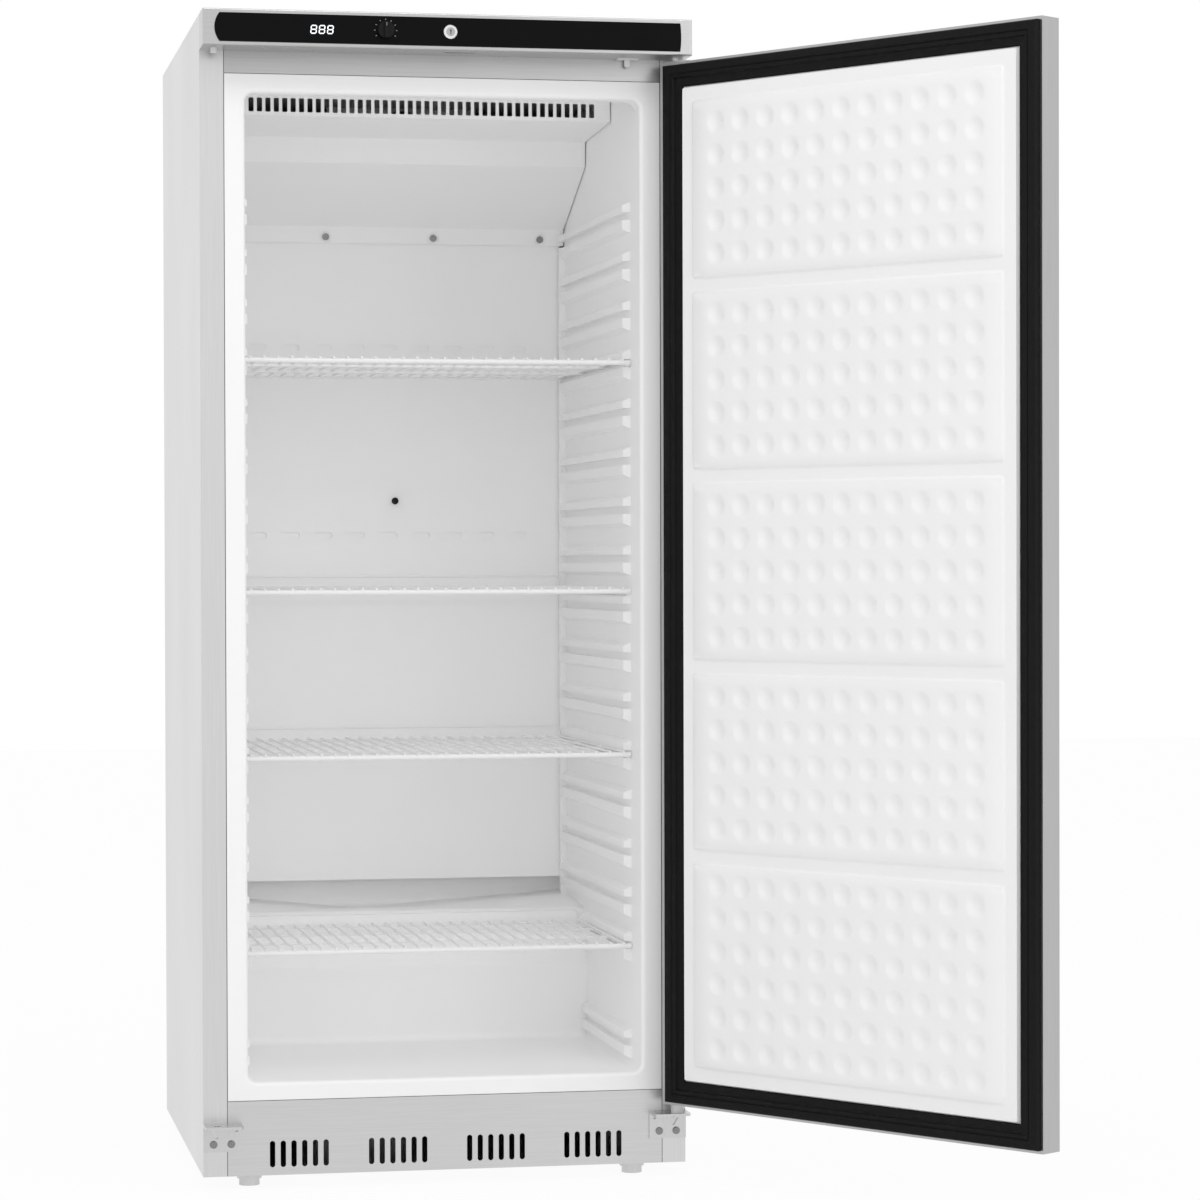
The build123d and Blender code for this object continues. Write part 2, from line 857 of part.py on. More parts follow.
def lower_bracket():
    """The steel angle on the kick panel under the door's corner."""
    x0 = half - bracket_width
    leg = block(x0, half, -bracket_sheet, 0, bracket_bottom, bracket_top)
    shelf = block(x0, half, -bracket_reach, 0, bracket_top - bracket_sheet, bracket_top)
    shelf = fillet(shelf.edges().filter_by(Axis.Z).sort_by(Axis.Y)[:2], 8.0)
    bracket = leg + shelf
    for x in bracket_screw_places():
        bracket -= lengthwise(x, -2 * bracket_sheet, 1, bracket_screw_height, screw_radius + screw_play)
    slot = Rot(90, 0, 0) * extrude(SlotOverall(16, 5, rotation=60), amount=2 * bracket_sheet)
    bracket -= Pos(half - 18, front + 1, 90) * slot
    bracket -= lengthwise(x0 + 8, -2 * bracket_sheet, 1, 96, screw_radius)
    return bracket - upright(pin_place, pin_depth, bracket_top - 10, bracket_top + 1, pin_hole_radius)


def lower_pin():
    """The lower pin: its head is under the bracket and its shank runs up into the door."""
    under = bracket_top - bracket_sheet
    tip = door_bottom + bush_length - 2
    head = upright(pin_place, pin_depth, under - pin_head, under, pin_head_radius)
    return head + upright(pin_place, pin_depth, under, tip, hinge_pin_radius)


def pin_washer():
    """The nylon washer that the door's lower bush turns on."""
    z1 = door_bottom - bush_flange
    washer = upright(pin_place, pin_depth, bracket_top, z1, bush_flange_radius - 1)
    return washer - upright(pin_place, pin_depth, bracket_top, z1, pin_hole_radius)


def bracket_screws():
    """The four pan-head screws of the two lower brackets."""
    screws = []
    face = -bracket_sheet
    for x in bracket_screw_places():
        head = lengthwise(x, face - screw_head, face, bracket_screw_height, screw_head_radius)
        head = fillet(head.edges().sort_by(Axis.Y)[0], screw_head / 2)
        shank = lengthwise(x, face, 3 * bracket_sheet, bracket_screw_height, screw_radius)
        screw = head + shank
        screws += [screw, mirrored(screw)]
    return Compound([solid for screw in screws for solid in screw.solids()])


sheet_top = canopy_bottom + canopy_sheet
parts["upper_hinge_plate"] = upper_hinge_plate()
parts["upper_hinge_pin"] = upper_pin(sheet_top + pin_plate, door_top - bush_length + 2)
parts["spare_hinge_plug"] = mirrored(upper_pin(sheet_top, canopy_bottom - 8))
parts["lower_hinge_bracket"] = lower_bracket()
parts["spare_hinge_bracket"] = mirrored(lower_bracket())
parts["lower_hinge_pin"] = lower_pin()
parts["hinge_washer"] = pin_washer()
parts["bracket_screws"] = bracket_screws()

# The door, built closed and then swung to its rest angle

door_half = half - door_side_reveal
door_front = -(gasket_height + door_shell)
door_back = -gasket_height
gasket_left = -door_half + gasket_free_margin
gasket_right = door_half - gasket_hinge_margin
liner_left = gasket_left + gasket_width
liner_right = gasket_right - gasket_width
liner_low = door_bottom + gasket_margin + gasket_width
liner_high = door_top - gasket_margin - gasket_width


def bush_places():
    """The heights of the door's lower and upper edge, and the way into the door from each."""
    return ((door_bottom, 1), (door_top, -1))


def door_slab(margin, d0, d1):
    """A slab of the closed door between two depths, with a margin on all four edges."""
    x = door_half - margin
    return block(-x, x, d0, d1, door_bottom + margin, door_top - margin)


def grip_room(wall):
    """The space of the hand grip's recess, less a wall all round."""
    x0 = -door_half + grip_edge + wall
    z0 = grip_centre_height - grip_height / 2 + wall
    x1, z1 = x0 + grip_width - 2 * wall, z0 + grip_height - 2 * wall
    return block(x0, x1, door_front, door_front + grip_depth - wall, z0, z1)


def door_outer_skin():
    """The steel pan of the door, folded in round the back."""
    skin = door_slab(0, door_front, door_back)
    skin -= door_slab(sheet, door_front + sheet, door_back - sheet)
    skin -= door_slab(sheet + door_lip, door_back - 2 * sheet, door_back)
    skin -= grip_room(0)
    for z, way in bush_places():
        skin -= upright(pin_place, pin_depth, z - 2 * sheet, z + 2 * sheet, bush_radius)
    return skin - cam_slot(door_top - 2 * sheet, door_top + 1)


def liner_pocket():
    """The foam-filled hollow behind the door liner's raised field."""
    w = door_liner_sheet
    return block(
        liner_left + w,
        liner_right - w,
        door_back - sheet - door_liner_sheet,
        door_back + door_liner_rise - door_liner_skin,
        liner_low + w,
        liner_high - w,
    )


def pillows():
    """The bottom, top and row count of each raised panel of the door liner, from the top down."""
    high = liner_high - pillow_border
    fields = []
    for i in range(upper_pillows):
        fields.append((high - pillow_pitch + pillow_gap, high, dimple_rows))
        high -= pillow_pitch
    fields.append((liner_low + pillow_border, high, last_dimple_rows))
    return fields


def dimples(z0, z1, rows):
    """The shallow round hollows of one panel, in rows and columns about its middle."""
    ball = (dimple_radius**2 + dimple_depth**2) / (2 * dimple_depth)
    face = door_back + door_liner_rise + pillow_rise
    middle_x, middle_z = (liner_left + liner_right) / 2, (z0 + z1) / 2
    hollows = []
    for row in range(rows):
        for column in range(dimple_columns):
            x = middle_x + (column - (dimple_columns - 1) / 2) * dimple_pitch
            z = middle_z + (row - (rows - 1) / 2) * dimple_pitch
            hollows.append(Pos(x, front + face + ball - dimple_depth, z) * Sphere(ball))
    return hollows


def door_inner_liner():
    """The white moulded liner: a flange under the gasket, a raised field and five dimpled panels."""
    low = door_back - sheet - door_liner_sheet
    flange = door_slab(sheet, low, door_back - sheet)
    inside = door_slab(sheet + door_lip + 1, door_back - sheet, door_back)
    field = block(liner_left, liner_right, door_back, door_back + door_liner_rise, liner_low, liner_high)
    field = fillet(field.edges().filter_by(Axis.Y), 6.0)
    liner = flange + inside + field
    for z0, z1, rows in pillows():
        face = door_back + door_liner_rise
        pillow = block(
            liner_left + pillow_border, liner_right - pillow_border, face - 1, face + pillow_rise, z0, z1
        )
        pillow = fillet(pillow.edges().filter_by(Axis.Y), 8.0)
        pillow = chamfer(pillow.edges().group_by(Axis.Y)[-1], pillow_rise - 0.5)
        liner += pillow - dimples(z0, z1, rows)
    return liner - liner_pocket()


def door_foam():
    """The insulation inside the door."""
    foam = door_slab(sheet, door_front + sheet, door_back - sheet - door_liner_sheet)
    foam = foam + liner_pocket() - grip_room(0)
    for z, way in bush_places():
        low, high = sorted((z, z + way * bush_length))
        foam -= upright(pin_place, pin_depth, low, high, bush_radius)
    return foam - cam_slot(control_height - cam_reach - 2 * cam_play, door_top)


def gasket_frame(margin, width, height):
    """A rectangular ring on the door's back."""
    outer = block(
        gasket_left + margin,
        gasket_right - margin,
        door_back,
        door_back + height,
        door_bottom + gasket_margin + margin,
        door_top - gasket_margin - margin,
    )
    inner = block(
        gasket_left + margin + width,
        gasket_right - margin - width,
        door_back,
        door_back + height,
        door_bottom + gasket_margin + margin + width,
        door_top - gasket_margin - margin - width,
    )
    return outer - inner


def door_gasket():
    """The black seal: a low foot all round, a broad crown with the magnet, and a narrow bead beside it."""
    crown = gasket_frame(0, gasket_crown, gasket_height - gasket_gap)
    foot = gasket_frame(0, gasket_width - 0.2, gasket_low_height)
    groove = gasket_frame(gasket_crown * 0.6, 2.0, gasket_height)
    groove -= gasket_frame(gasket_crown * 0.6, 2.0, gasket_height - 2.0)
    return crown + foot - groove


def hand_grip():
    """The moulded cup that lines the hand recess in the door's front."""
    return grip_room(0) - grip_room(grip_wall)


def hinge_bush(z, way):
    """A flanged nylon bush in the door's edge, bored for the pin."""
    inside = sorted((z, z + way * bush_length))
    outside = sorted((z, z - way * bush_flange))
    bush = upright(pin_place, pin_depth, *inside, bush_radius - 0.02)
    bush += upright(pin_place, pin_depth, *outside, bush_flange_radius)
    both = sorted((z - 2 * way * bush_flange, z + way * (bush_length + 1)))
    return bush - upright(pin_place, pin_depth, *both, pin_hole_radius)


hinge_point = (pin_place, front + pin_depth, 0)
swing = Pos(*hinge_point) * Rot(0, 0, rest_angle) * Pos(*[-v for v in hinge_point])
door_pieces = {
    "door_outer_skin": door_outer_skin(),
    "door_foam": door_foam(),
    "door_inner_liner": door_inner_liner(),
    "door_gasket": door_gasket(),
    "door_hand_grip": hand_grip(),
    "door_hinge_bushes": Compound([hinge_bush(z, way) for z, way in bush_places()]),
}
for name, piece in door_pieces.items():
    parts[name] = swing * piece

# The wire shelves


def rest_height(slot):
    """The height of a side rod's middle when it lies on the lower rib of a slot."""
    return slot - slot_height / 2 + side_wire_radius + shelf_clearance


def rib_top_height(slot):
    """The height of a side rod's middle when it lies on the slanting top of a slot's upper rib."""
    slope = rib_taper / rib_reach
    surface = slot + slot_height / 2 + rib_above - slope * (shelf_side_gap + side_wire_radius)
    return surface + (side_wire_radius + shelf_clearance) * (1 + slope**2) ** 0.5


def wire_shelf(rear):
    """A welded wire shelf, the middle of its side rods at height 0.

    Cross rods lie on the side rods, thin wires on the cross rods and on the thick front rod, and an
    upstand closes the back.
    """
    side = cavity_half - shelf_side_gap - side_wire_radius
    top = front_rod_lift + front_wire_radius + thin_wire_radius - weld_sink
    cross_z = top - thin_wire_radius - cross_wire_radius + weld_sink
    end = side + side_wire_radius + front_rod_overrun
    rods = [crosswise(-end, end, shelf_front, front_rod_lift, front_wire_radius)]
    for x in (-side, side):
        rods.append(lengthwise(x, shelf_front, rear + side_wire_radius, 0, side_wire_radius))
    for i in (1, 2, 3):
        place = shelf_front + (rear - shelf_front) * i / 3
        rods.append(crosswise(-side, side, place, cross_z, cross_wire_radius))
    for i in range(wire_count):
        x = (i - (wire_count - 1) / 2) * wire_pitch
        tip = shelf_front - front_wire_radius
        rods.append(lengthwise(x, tip, rear + side_wire_radius, top, thin_wire_radius))
    post = side - upstand_inset
    corners = [(-post, cross_z), (-post, upstand_height), (post, upstand_height), (post, cross_z)]
    rods.append(pipe([(x, rear, level) for x, level in corners], thin_wire_radius, upstand_bend))
    return rods[0].fuse(*rods[1:])


deep_shelf = wire_shelf(shelf_rear)
parts["shelf_1"] = Pos(0, 0, rest_height(ladder_first + 11 * ladder_pitch)) * deep_shelf
parts["shelf_2"] = Pos(0, 0, rib_top_height(ladder_first + 6 * ladder_pitch)) * deep_shelf
parts["shelf_3"] = Pos(0, 0, rest_height(ladder_first + 3 * ladder_pitch)) * deep_shelf
parts["shelf_4"] = Pos(0, 0, rest_height(ladder_low)) * wire_shelf(low_shelf_rear)

# The evaporator housing and the air panel

cover_half = cavity_half - cover_side_gap
cover_screw_height = (cover_foot_top + cover_foot_bottom) / 2 - 4


def cover_path():
    """The side view of the housing's sheet, from the ceiling down and back."""
    return [
        (cover_front, ceiling_height),
        (cover_front, cover_fascia_bottom),
        (cover_band_depth, cover_band_top),
        (cover_band_depth + 4, cover_band_bottom),
        (cover_foot_depth - 4, cover_foot_top),
        (cover_foot_depth, cover_foot_bottom),
    ]


def cover_screw_places():
    """The distances from the middle of the four screws in the housing's lower flange."""
    return [cover_screw_first + cover_screw_pitch * i for i in range(4)]


def evaporator_cover():
    """The white folded housing with its air slots and closed ends."""
    path = cover_path()
    cover = bent_sheet(path, cover_sheet, -cover_half, cover_half)
    inner = offset_path(path, cover_sheet)[:-1]
    cheek_outline = inner + [(cover_foot_depth - 4, ceiling_height)]
    for x in (-cover_half, cover_half - cover_sheet):
        cover += across(side_profile(cheek_outline), x, x + cover_sheet)
    middle = (fascia_slot_bottom + fascia_slot_top) / 2
    height = fascia_slot_top - fascia_slot_bottom
    slot = RectangleRounded(fascia_slot_width, height, fascia_slot_round)
    cutter = Rot(90, 0, 0) * extrude(slot, amount=cover_sheet + 2)
    holes = []
    for i in range(fascia_slots):
        x = (i - (fascia_slots - 1) / 2) * fascia_slot_pitch
        holes.append(Pos(x, front + cover_front + cover_sheet + 1, middle) * cutter)
    through = (cover_foot_depth - 10, cover_foot_depth + 10)
    for x in cover_screw_places():
        holes.append(lengthwise(x, *through, cover_screw_height, screw_radius + screw_play))
    return cover - holes


def cover_screws():
    """The four screws of the housing's flange."""
    z = cover_screw_height
    face = cover_foot_depth - 2.8
    screws = []
    for x in cover_screw_places():
        head = lengthwise(x, face - screw_head, face, z, screw_head_radius)
        shank = lengthwise(x, face, panel_front + 12, z, screw_radius)
        screws.append(head + shank)
    return Compound([solid for screw in screws for solid in screw.solids()])


def air_panel():
    """The sheet in front of the back wall, with two rows of air slots."""
    x = cavity_half - air_panel_gap
    rear = panel_front + air_panel_sheet
    panel = block(-x, x, panel_front, rear, air_panel_bottom, air_panel_top)
    for side in (-x, x - air_panel_sheet):
        end = side + air_panel_sheet
        panel += block(side, end, panel_front, cavity_depth, air_panel_bottom, air_panel_top)
    holes = []
    for z in air_slot_rows:
        for i in range(air_slots):
            place = (i - (air_slots - 1) / 2) * air_slot_pitch
            holes.append(slot_across(place, panel_front, rear, z, air_slot_length, air_slot_height))
    holes.append(lengthwise(probe_place, panel_front, rear, probe_height, probe_radius + running_fit))
    for x in cover_screw_places():
        holes.append(lengthwise(x, panel_front, rear, cover_screw_height, screw_radius + screw_play))
    holes.append(lengthwise(drain_place, panel_front, rear, drain_height, drain_radius + 2))
    return panel - holes


def temperature_probe():
    """The thermostat's sensing bulb, clipped through the air panel."""
    tip = lengthwise(probe_place, panel_front - 14, panel_front + 16, probe_height, probe_radius)
    collar = lengthwise(probe_place, panel_front - 2, panel_front, probe_height, probe_radius + 2)
    return tip + collar


parts["evaporator_cover"] = evaporator_cover()
parts["evaporator_cover_screws"] = cover_screws()
parts["air_panel"] = air_panel()
parts["temperature_probe"] = temperature_probe()


def finned_coil(x0, x1, d0, depth, z0, z1, end_bottom, end_top, rows, columns):
    """A fin pack on level tubes between two end plates."""
    plates = []
    count = int((x1 - x0) / fin_pitch)
    for i in range(count + 1):
        x = x0 + (x1 - x0) * i / count
        low, high = (end_bottom, end_top) if i in (0, count) else (z0, z1)
        plates.append(block(x - fin_sheet / 2, x + fin_sheet / 2, d0, d0 + depth, low, high))
    tubes = []
    for row in range(rows):
        for column in range(columns):
            d = d0 + depth * (column + 0.5) / columns
            z = z0 + (z1 - z0) * (row + 0.5) / rows
            tubes.append(crosswise(x0 - 4, x1 + 4, d, z, tube_radius))
    return tubes[0].fuse(*tubes[1:], *plates)


def fan_wheel(x, d, z, tip, depth, blades, shaft_end):
    """A plastic fan: a hub with pitched blades and the shaft behind it."""
    hub = tip * 0.3
    pieces = [lengthwise(x, d - depth / 2, d + depth / 2, z, hub)]
    length = tip - hub * 0.7
    for i in range(blades):
        blade = Pos(0, 0, hub * 0.7 + length / 2) * Rot(0, 0, 32) * Box(tip * 0.55, 2.0, length)
        disc = Rot(90, 0, 0) * Cylinder(tip, depth * 3)
        pieces.append(Pos(x, front + d, z) * Rot(0, 360 / blades * i, 0) * (blade & disc))
    pieces.append(lengthwise(x, d, shaft_end, z, 3.0))
    return pieces[0].fuse(*pieces[1:])


def fan_motor(x, d0, d1, z, radius):
    """A small round motor, bored for the fan's shaft."""
    body = lengthwise(x, d0, d1, z, radius)
    body = fillet(body.edges(), radius * 0.15)
    return body - lengthwise(x, d0, d0 + 16, z, 3.0 + running_fit)


def cold_fan_plate():
    """The plate across the housing with the ring that the evaporator fan blows through."""
    d = cold_fan_depth
    w = cold_fan_plate_width / 2
    rest = cover_band_bottom - (d - cover_band_depth) * 0.43 + 6
    plate = block(-w, w, d - 1, d + 1, rest, ceiling_height)
    ring = lengthwise(0, d - 8, d + 8, cold_fan_height, cold_fan_ring + 2)
    hole = lengthwise(0, d - 9, d + 9, cold_fan_height, cold_fan_ring)
    arm = block(-3, 3, d + 16, d + 46, cold_fan_height + 18, ceiling_height)
    foot = block(-3, 3, d, d + 46, cold_fan_height + cold_fan_ring + 0.5, ceiling_height)
    return plate + ring - hole + arm + foot


parts["evaporator_coil"] = finned_coil(
    -coil_width / 2,
    coil_width / 2,
    coil_front,
    coil_depth,
    coil_bottom,
    coil_bottom + coil_height,
    coil_bottom - 4,
    ceiling_height,
    4,
    3,
)
parts["evaporator_fan_plate"] = cold_fan_plate()
shaft_end = cold_fan_depth + 28
parts["evaporator_fan"] = fan_wheel(0, cold_fan_depth, cold_fan_height, cold_fan_radius, 14, 5, shaft_end)
cold_motor = (cold_fan_depth + 14, cold_fan_depth + 46)
parts["evaporator_fan_motor"] = fan_motor(0, *cold_motor, cold_fan_height, 18)

# The drain and the suction line in the back wall

parts["drain_tube"] = pipe(drain_path(), drain_radius, drain_radius * 2, drain_bore)
parts["suction_line"] = pipe(suction_path(), suction_radius, suction_radius * 3)

# The machine bay


def compressor():
    """The hermetic compressor: a rounded can on a pressed plate, with its relay box and its suction stub."""
    x, d = compressor_place, compressor_depth
    can = upright(x, d, compressor_bottom, compressor_top, compressor_radius)
    can = fillet(can.edges(), 32.0)
    plate = block(x - 80, x + 80, d - 60, d + 60, compressor_bottom - compressor_plate, compressor_bottom + 2)
    relay = block(x - compressor_radius - 26, x - compressor_radius + 10, d - 28, d + 28, 90, 150)
    reach = compressor_radius
    stub = crosswise(x + reach - 12, stub_end, d, suction_stub_height, suction_radius + 1)
    return can + plate + relay + stub


def grommets():
    """The four rubber mounts under the compressor's plate."""
    x, d = compressor_place, compressor_depth
    places = [(x + i * 66, d + j * 46) for i in (-1, 1) for j in (-1, 1)]
    return Compound(
        [upright(px, pd, base_top, compressor_bottom - compressor_plate, grommet_radius) for px, pd in places]
    )


def fan_shroud():
    """The plate behind the condenser with its air ring."""
    d = condenser_front + condenser_thickness + 6
    x = (condenser_left + condenser_right) / 2
    plate = block(condenser_left, condenser_right, d, d + shroud_sheet, base_top, condenser_top + 20)
    ring = lengthwise(x, d, d + 24, warm_fan_height, warm_fan_ring + 2)
    return plate + ring - lengthwise(x, d - 1, d + 25, warm_fan_height, warm_fan_ring)


def motor_stand():
    """The condenser fan's motor on its pressed stand."""
    x = (condenser_left + condenser_right) / 2
    d = warm_fan_depth + 18
    motor = fan_motor(x, d, d + 55, warm_fan_height, 32)
    stand = block(x - 12, x + 12, d + 10, d + 40, base_top, warm_fan_height - 20)
    return motor + stand + block(x - 40, x + 40, d, d + 55, base_top, base_top + 2)


def evaporation_tray():
    """The tray on the compressor that catches the defrost water."""
    t = tray_wall
    z = compressor_top
    tray = block(tray_left, tray_right, tray_front, tray_rear, z, z + tray_height)
    return tray - block(tray_left + t, tray_right - t, tray_front + t, tray_rear - t, z + t, z + tray_height)


def rear_grille():
    """The vented cover of the machine bay."""
    panel = block(-inner_half, inner_half, back_inner, cabinet_depth, base_top, bay_height)
    holes = []
    for row in range(6):
        for column in range(10):
            x = (column - 4.5) * 72
            z = 75 + row * 44
            holes.append(slot_across(x, back_inner, cabinet_depth, z, 48, 9))
    w = 14
    low, high = inlet_height - 12, inlet_height + 8
    holes.append(block(inlet_place - w, inlet_place + w, back_inner, cabinet_depth, low, high))
    return panel - holes


def power_inlet():
    """The recessed mains inlet behind the grille."""
    x, z = inlet_place, inlet_height - 2
    body = block(x - 20, x + 20, back_inner - 30, back_inner, z - 15, z + 15)
    mouth = block(x - 12, x + 12, back_inner - 18, back_inner, z - 8, z + 8)
    pins = [block(x + p - 1, x + p + 1, back_inner - 20, back_inner - 6, z - 3, z + 3) for p in (-6, 0, 6)]
    return (body - mouth).fuse(*pins)


parts["compressor"] = compressor()
parts["compressor_grommets"] = grommets()
parts["condenser_coil"] = finned_coil(
    condenser_left,
    condenser_right,
    condenser_front,
    condenser_thickness,
    condenser_bottom,
    condenser_top,
    base_top,
    condenser_top + 10,
    6,
    2,
)
parts["condenser_fan_shroud"] = fan_shroud()
warm_place = (condenser_left + condenser_right) / 2
parts["condenser_fan"] = fan_wheel(
    warm_place, warm_fan_depth, warm_fan_height, warm_fan_radius, 24, 5, warm_fan_depth + 32
)
parts["condenser_fan_motor"] = motor_stand()
parts["evaporation_tray"] = evaporation_tray()
parts["rear_grille"] = rear_grille()
parts["power_inlet"] = power_inlet()

os.makedirs("parts", exist_ok=True)
for name, shape in parts.items():
    export_step(shape, f"parts/{name}.step")

print("hinge point", hinge_point, "nodes", len(parts))
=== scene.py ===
from math import cos, pi, radians, sin

import bmesh
import bpy
import numpy as np
from mathutils import Matrix, Vector


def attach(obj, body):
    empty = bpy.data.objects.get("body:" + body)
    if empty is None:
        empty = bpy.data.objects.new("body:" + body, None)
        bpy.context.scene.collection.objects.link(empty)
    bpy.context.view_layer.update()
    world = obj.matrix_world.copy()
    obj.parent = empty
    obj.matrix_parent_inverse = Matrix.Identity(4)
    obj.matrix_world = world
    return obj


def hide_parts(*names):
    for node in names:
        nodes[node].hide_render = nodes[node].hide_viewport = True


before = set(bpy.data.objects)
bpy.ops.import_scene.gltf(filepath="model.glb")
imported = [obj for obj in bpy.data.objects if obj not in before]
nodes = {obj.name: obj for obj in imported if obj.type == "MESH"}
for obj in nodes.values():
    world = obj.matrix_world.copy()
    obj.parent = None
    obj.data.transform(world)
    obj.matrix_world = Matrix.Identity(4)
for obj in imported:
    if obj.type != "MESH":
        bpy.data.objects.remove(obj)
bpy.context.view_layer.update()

# Camera
# It stands left of the middle, a little over half the cabinet's height up and six metres back,
# with a long lens.

photo_side, sensor_width = 1200, 36.0
focal_pixels = 3788.6
lens_middle = (604.0, 613.0)
camera_place = (-0.8926, -6.3816, 0.9933)
camera_yaw, camera_pitch, camera_roll = radians(10.86), radians(-0.76), radians(-0.14)
camera_data = bpy.data.cameras.new("view")
camera_data.sensor_width = sensor_width
camera_data.lens = focal_pixels / photo_side * sensor_width
camera_data.shift_x = (photo_side / 2 - lens_middle[0]) / photo_side
camera_data.shift_y = (lens_middle[1] - photo_side / 2) / photo_side
camera_data.clip_end = 60.0
camera = bpy.data.objects.new("view", camera_data)
scene = bpy.context.scene
scene.collection.objects.link(camera)
forward = Vector(
    (sin(camera_yaw) * cos(camera_pitch), cos(camera_yaw) * cos(camera_pitch), sin(camera_pitch))
)
right = Vector((cos(camera_yaw), -sin(camera_yaw), 0.0))
above = right.cross(forward)
level_right = right * cos(camera_roll) + above * sin(camera_roll)
level_above = -right * sin(camera_roll) + above * cos(camera_roll)
turn = Matrix((level_right, level_above, -forward)).transposed()
camera.matrix_world = Matrix.Translation(camera_place) @ turn.to_4x4()
scene.camera = camera

# Studio
# A white floor under a white surround, a soft lamp in front on each side and one high in front.
# The white compartment is lit by light that bounces many times in it, so the paths are long.

scene.view_settings.view_transform = "Standard"
scene.cycles.diffuse_bounces = 12
scene.cycles.max_bounces = 16


def add_lamp(name, place, target, width, height, watts):
    """A rectangular lamp at a place, turned to a target."""
    data = bpy.data.lights.new(name, "AREA")
    data.shape = "RECTANGLE"
    data.size, data.size_y = width, height
    data.energy = watts
    lamp = bpy.data.objects.new(name, data)
    lamp.location = place
    lamp.rotation_euler = (Vector(target) - Vector(place)).to_track_quat("-Z", "Y").to_euler()
    scene.collection.objects.link(lamp)


add_lamp("lamp_left", (-3.2, -4.6, 2.6), (0.0, 0.0, 0.9), 2.6, 3.2, 6.0)
add_lamp("lamp_right", (3.0, -5.0, 2.2), (0.4, -0.2, 0.9), 2.6, 3.2, 32.0)
add_lamp("lamp_high", (0.2, -3.6, 4.8), (0.0, 0.0, 0.9), 2.4, 1.4, 36.0)


def seen_share(tree, amount):
    """The amount for rays from the camera, off metal or through glass, and 0 for the others."""
    path = tree.nodes.new("ShaderNodeLightPath")
    total = path.outputs["Is Camera Ray"]
    for ray in ("Is Glossy Ray", "Is Transmission Ray"):
        either = tree.nodes.new("ShaderNodeMath")
        either.operation = "MAXIMUM"
        tree.links.new(total, either.inputs[0])
        tree.links.new(path.outputs[ray], either.inputs[1])
        total = either.outputs[0]
    share = tree.nodes.new("ShaderNodeMath")
    share.operation = "MULTIPLY"
    share.inputs[1].default_value = amount
    tree.links.new(total, share.inputs[0])
    return share.outputs[0]


white = (1.0, 1.0, 1.0, 1.0)
surround = bpy.data.worlds.new("surround")
surround.use_nodes = True
scene.world = surround
tree = surround.node_tree
tree.nodes.clear()
seen = tree.nodes.new("ShaderNodeBackground")
seen.inputs["Color"].default_value = white
seen.inputs["Strength"].default_value = 1.0
lit = tree.nodes.new("ShaderNodeBackground")
lit.inputs["Color"].default_value = white
lit.inputs["Strength"].default_value = 0.80
choose = tree.nodes.new("ShaderNodeMixShader")
tree.links.new(seen_share(tree, 1.0), choose.inputs["Fac"])
tree.links.new(lit.outputs[0], choose.inputs[1])
tree.links.new(seen.outputs[0], choose.inputs[2])
out = tree.nodes.new("ShaderNodeOutputWorld")
tree.links.new(choose.outputs[0], out.inputs["Surface"])

far = 14
floor_corners = [(-far, -far, 0), (far, -far, 0), (far, far, 0), (-far, far, 0)]
floor_mesh = bpy.data.meshes.new("floor")
floor_mesh.from_pydata(floor_corners, [], [(0, 1, 2, 3)])
floor = bpy.data.objects.new("floor", floor_mesh)
scene.collection.objects.link(floor)
floor_finish = bpy.data.materials.new("white_floor")
floor_finish.use_nodes = True
tree = floor_finish.node_tree
tree.nodes.clear()
matt = tree.nodes.new("ShaderNodeBsdfDiffuse")
matt.inputs["Color"].default_value = (0.92, 0.92, 0.92, 1.0)
glow = tree.nodes.new("ShaderNodeEmission")
glow.inputs["Color"].default_value = white
glow.inputs["Strength"].default_value = 1.0
blend = tree.nodes.new("ShaderNodeMixShader")
tree.links.new(seen_share(tree, 0.94), blend.inputs["Fac"])
tree.links.new(matt.outputs[0], blend.inputs[1])
tree.links.new(glow.outputs[0], blend.inputs[2])
out = tree.nodes.new("ShaderNodeOutputMaterial")
tree.links.new(blend.outputs[0], out.inputs["Surface"])
floor_mesh.materials.append(floor_finish)

# Outer sheets
# The cabinet's sides, top, kick panel and canopy and the door's pan are thin stainless steel with
# a fine satin grain.


def finish(name, colour, roughness, metallic=0.0, **sockets):
    """A material with its shader, ready for more nodes: the material, its tree and its shader."""
    material = bpy.data.materials.new(name)
    material.use_nodes = True
    tree = material.node_tree
    shader = tree.nodes["Principled BSDF"]
    shader.inputs["Base Color"].default_value = (*colour, 1.0)
    shader.inputs["Roughness"].default_value = roughness
    shader.inputs["Metallic"].default_value = metallic
    for socket, value in sockets.items():
        shader.inputs[socket.replace("_", " ")].default_value = value
    return material, tree, shader


def grain(tree, scale, stretch=(1.0, 1.0, 1.0), detail=3.0):
    """Noise on Object coordinates, drawn out along the axes with a small stretch."""
    where = tree.nodes.new("ShaderNodeTexCoord")
    place = tree.nodes.new("ShaderNodeMapping")
    place.inputs["Scale"].default_value = stretch
    noise = tree.nodes.new("ShaderNodeTexNoise")
    noise.inputs["Scale"].default_value = scale
    noise.inputs["Detail"].default_value = detail
    tree.links.new(where.outputs["Object"], place.inputs["Vector"])
    tree.links.new(place.outputs["Vector"], noise.inputs["Vector"])
    return noise.outputs["Fac"]


def spread(tree, source, low, high):
    """A noise's range carried to low and high."""
    ramp = tree.nodes.new("ShaderNodeMapRange")
    ramp.inputs["From Min"].default_value = 0.3
    ramp.inputs["From Max"].default_value = 0.7
    ramp.inputs["To Min"].default_value = low
    ramp.inputs["To Max"].default_value = high
    tree.links.new(source, ramp.inputs["Value"])
    return ramp.outputs["Result"]


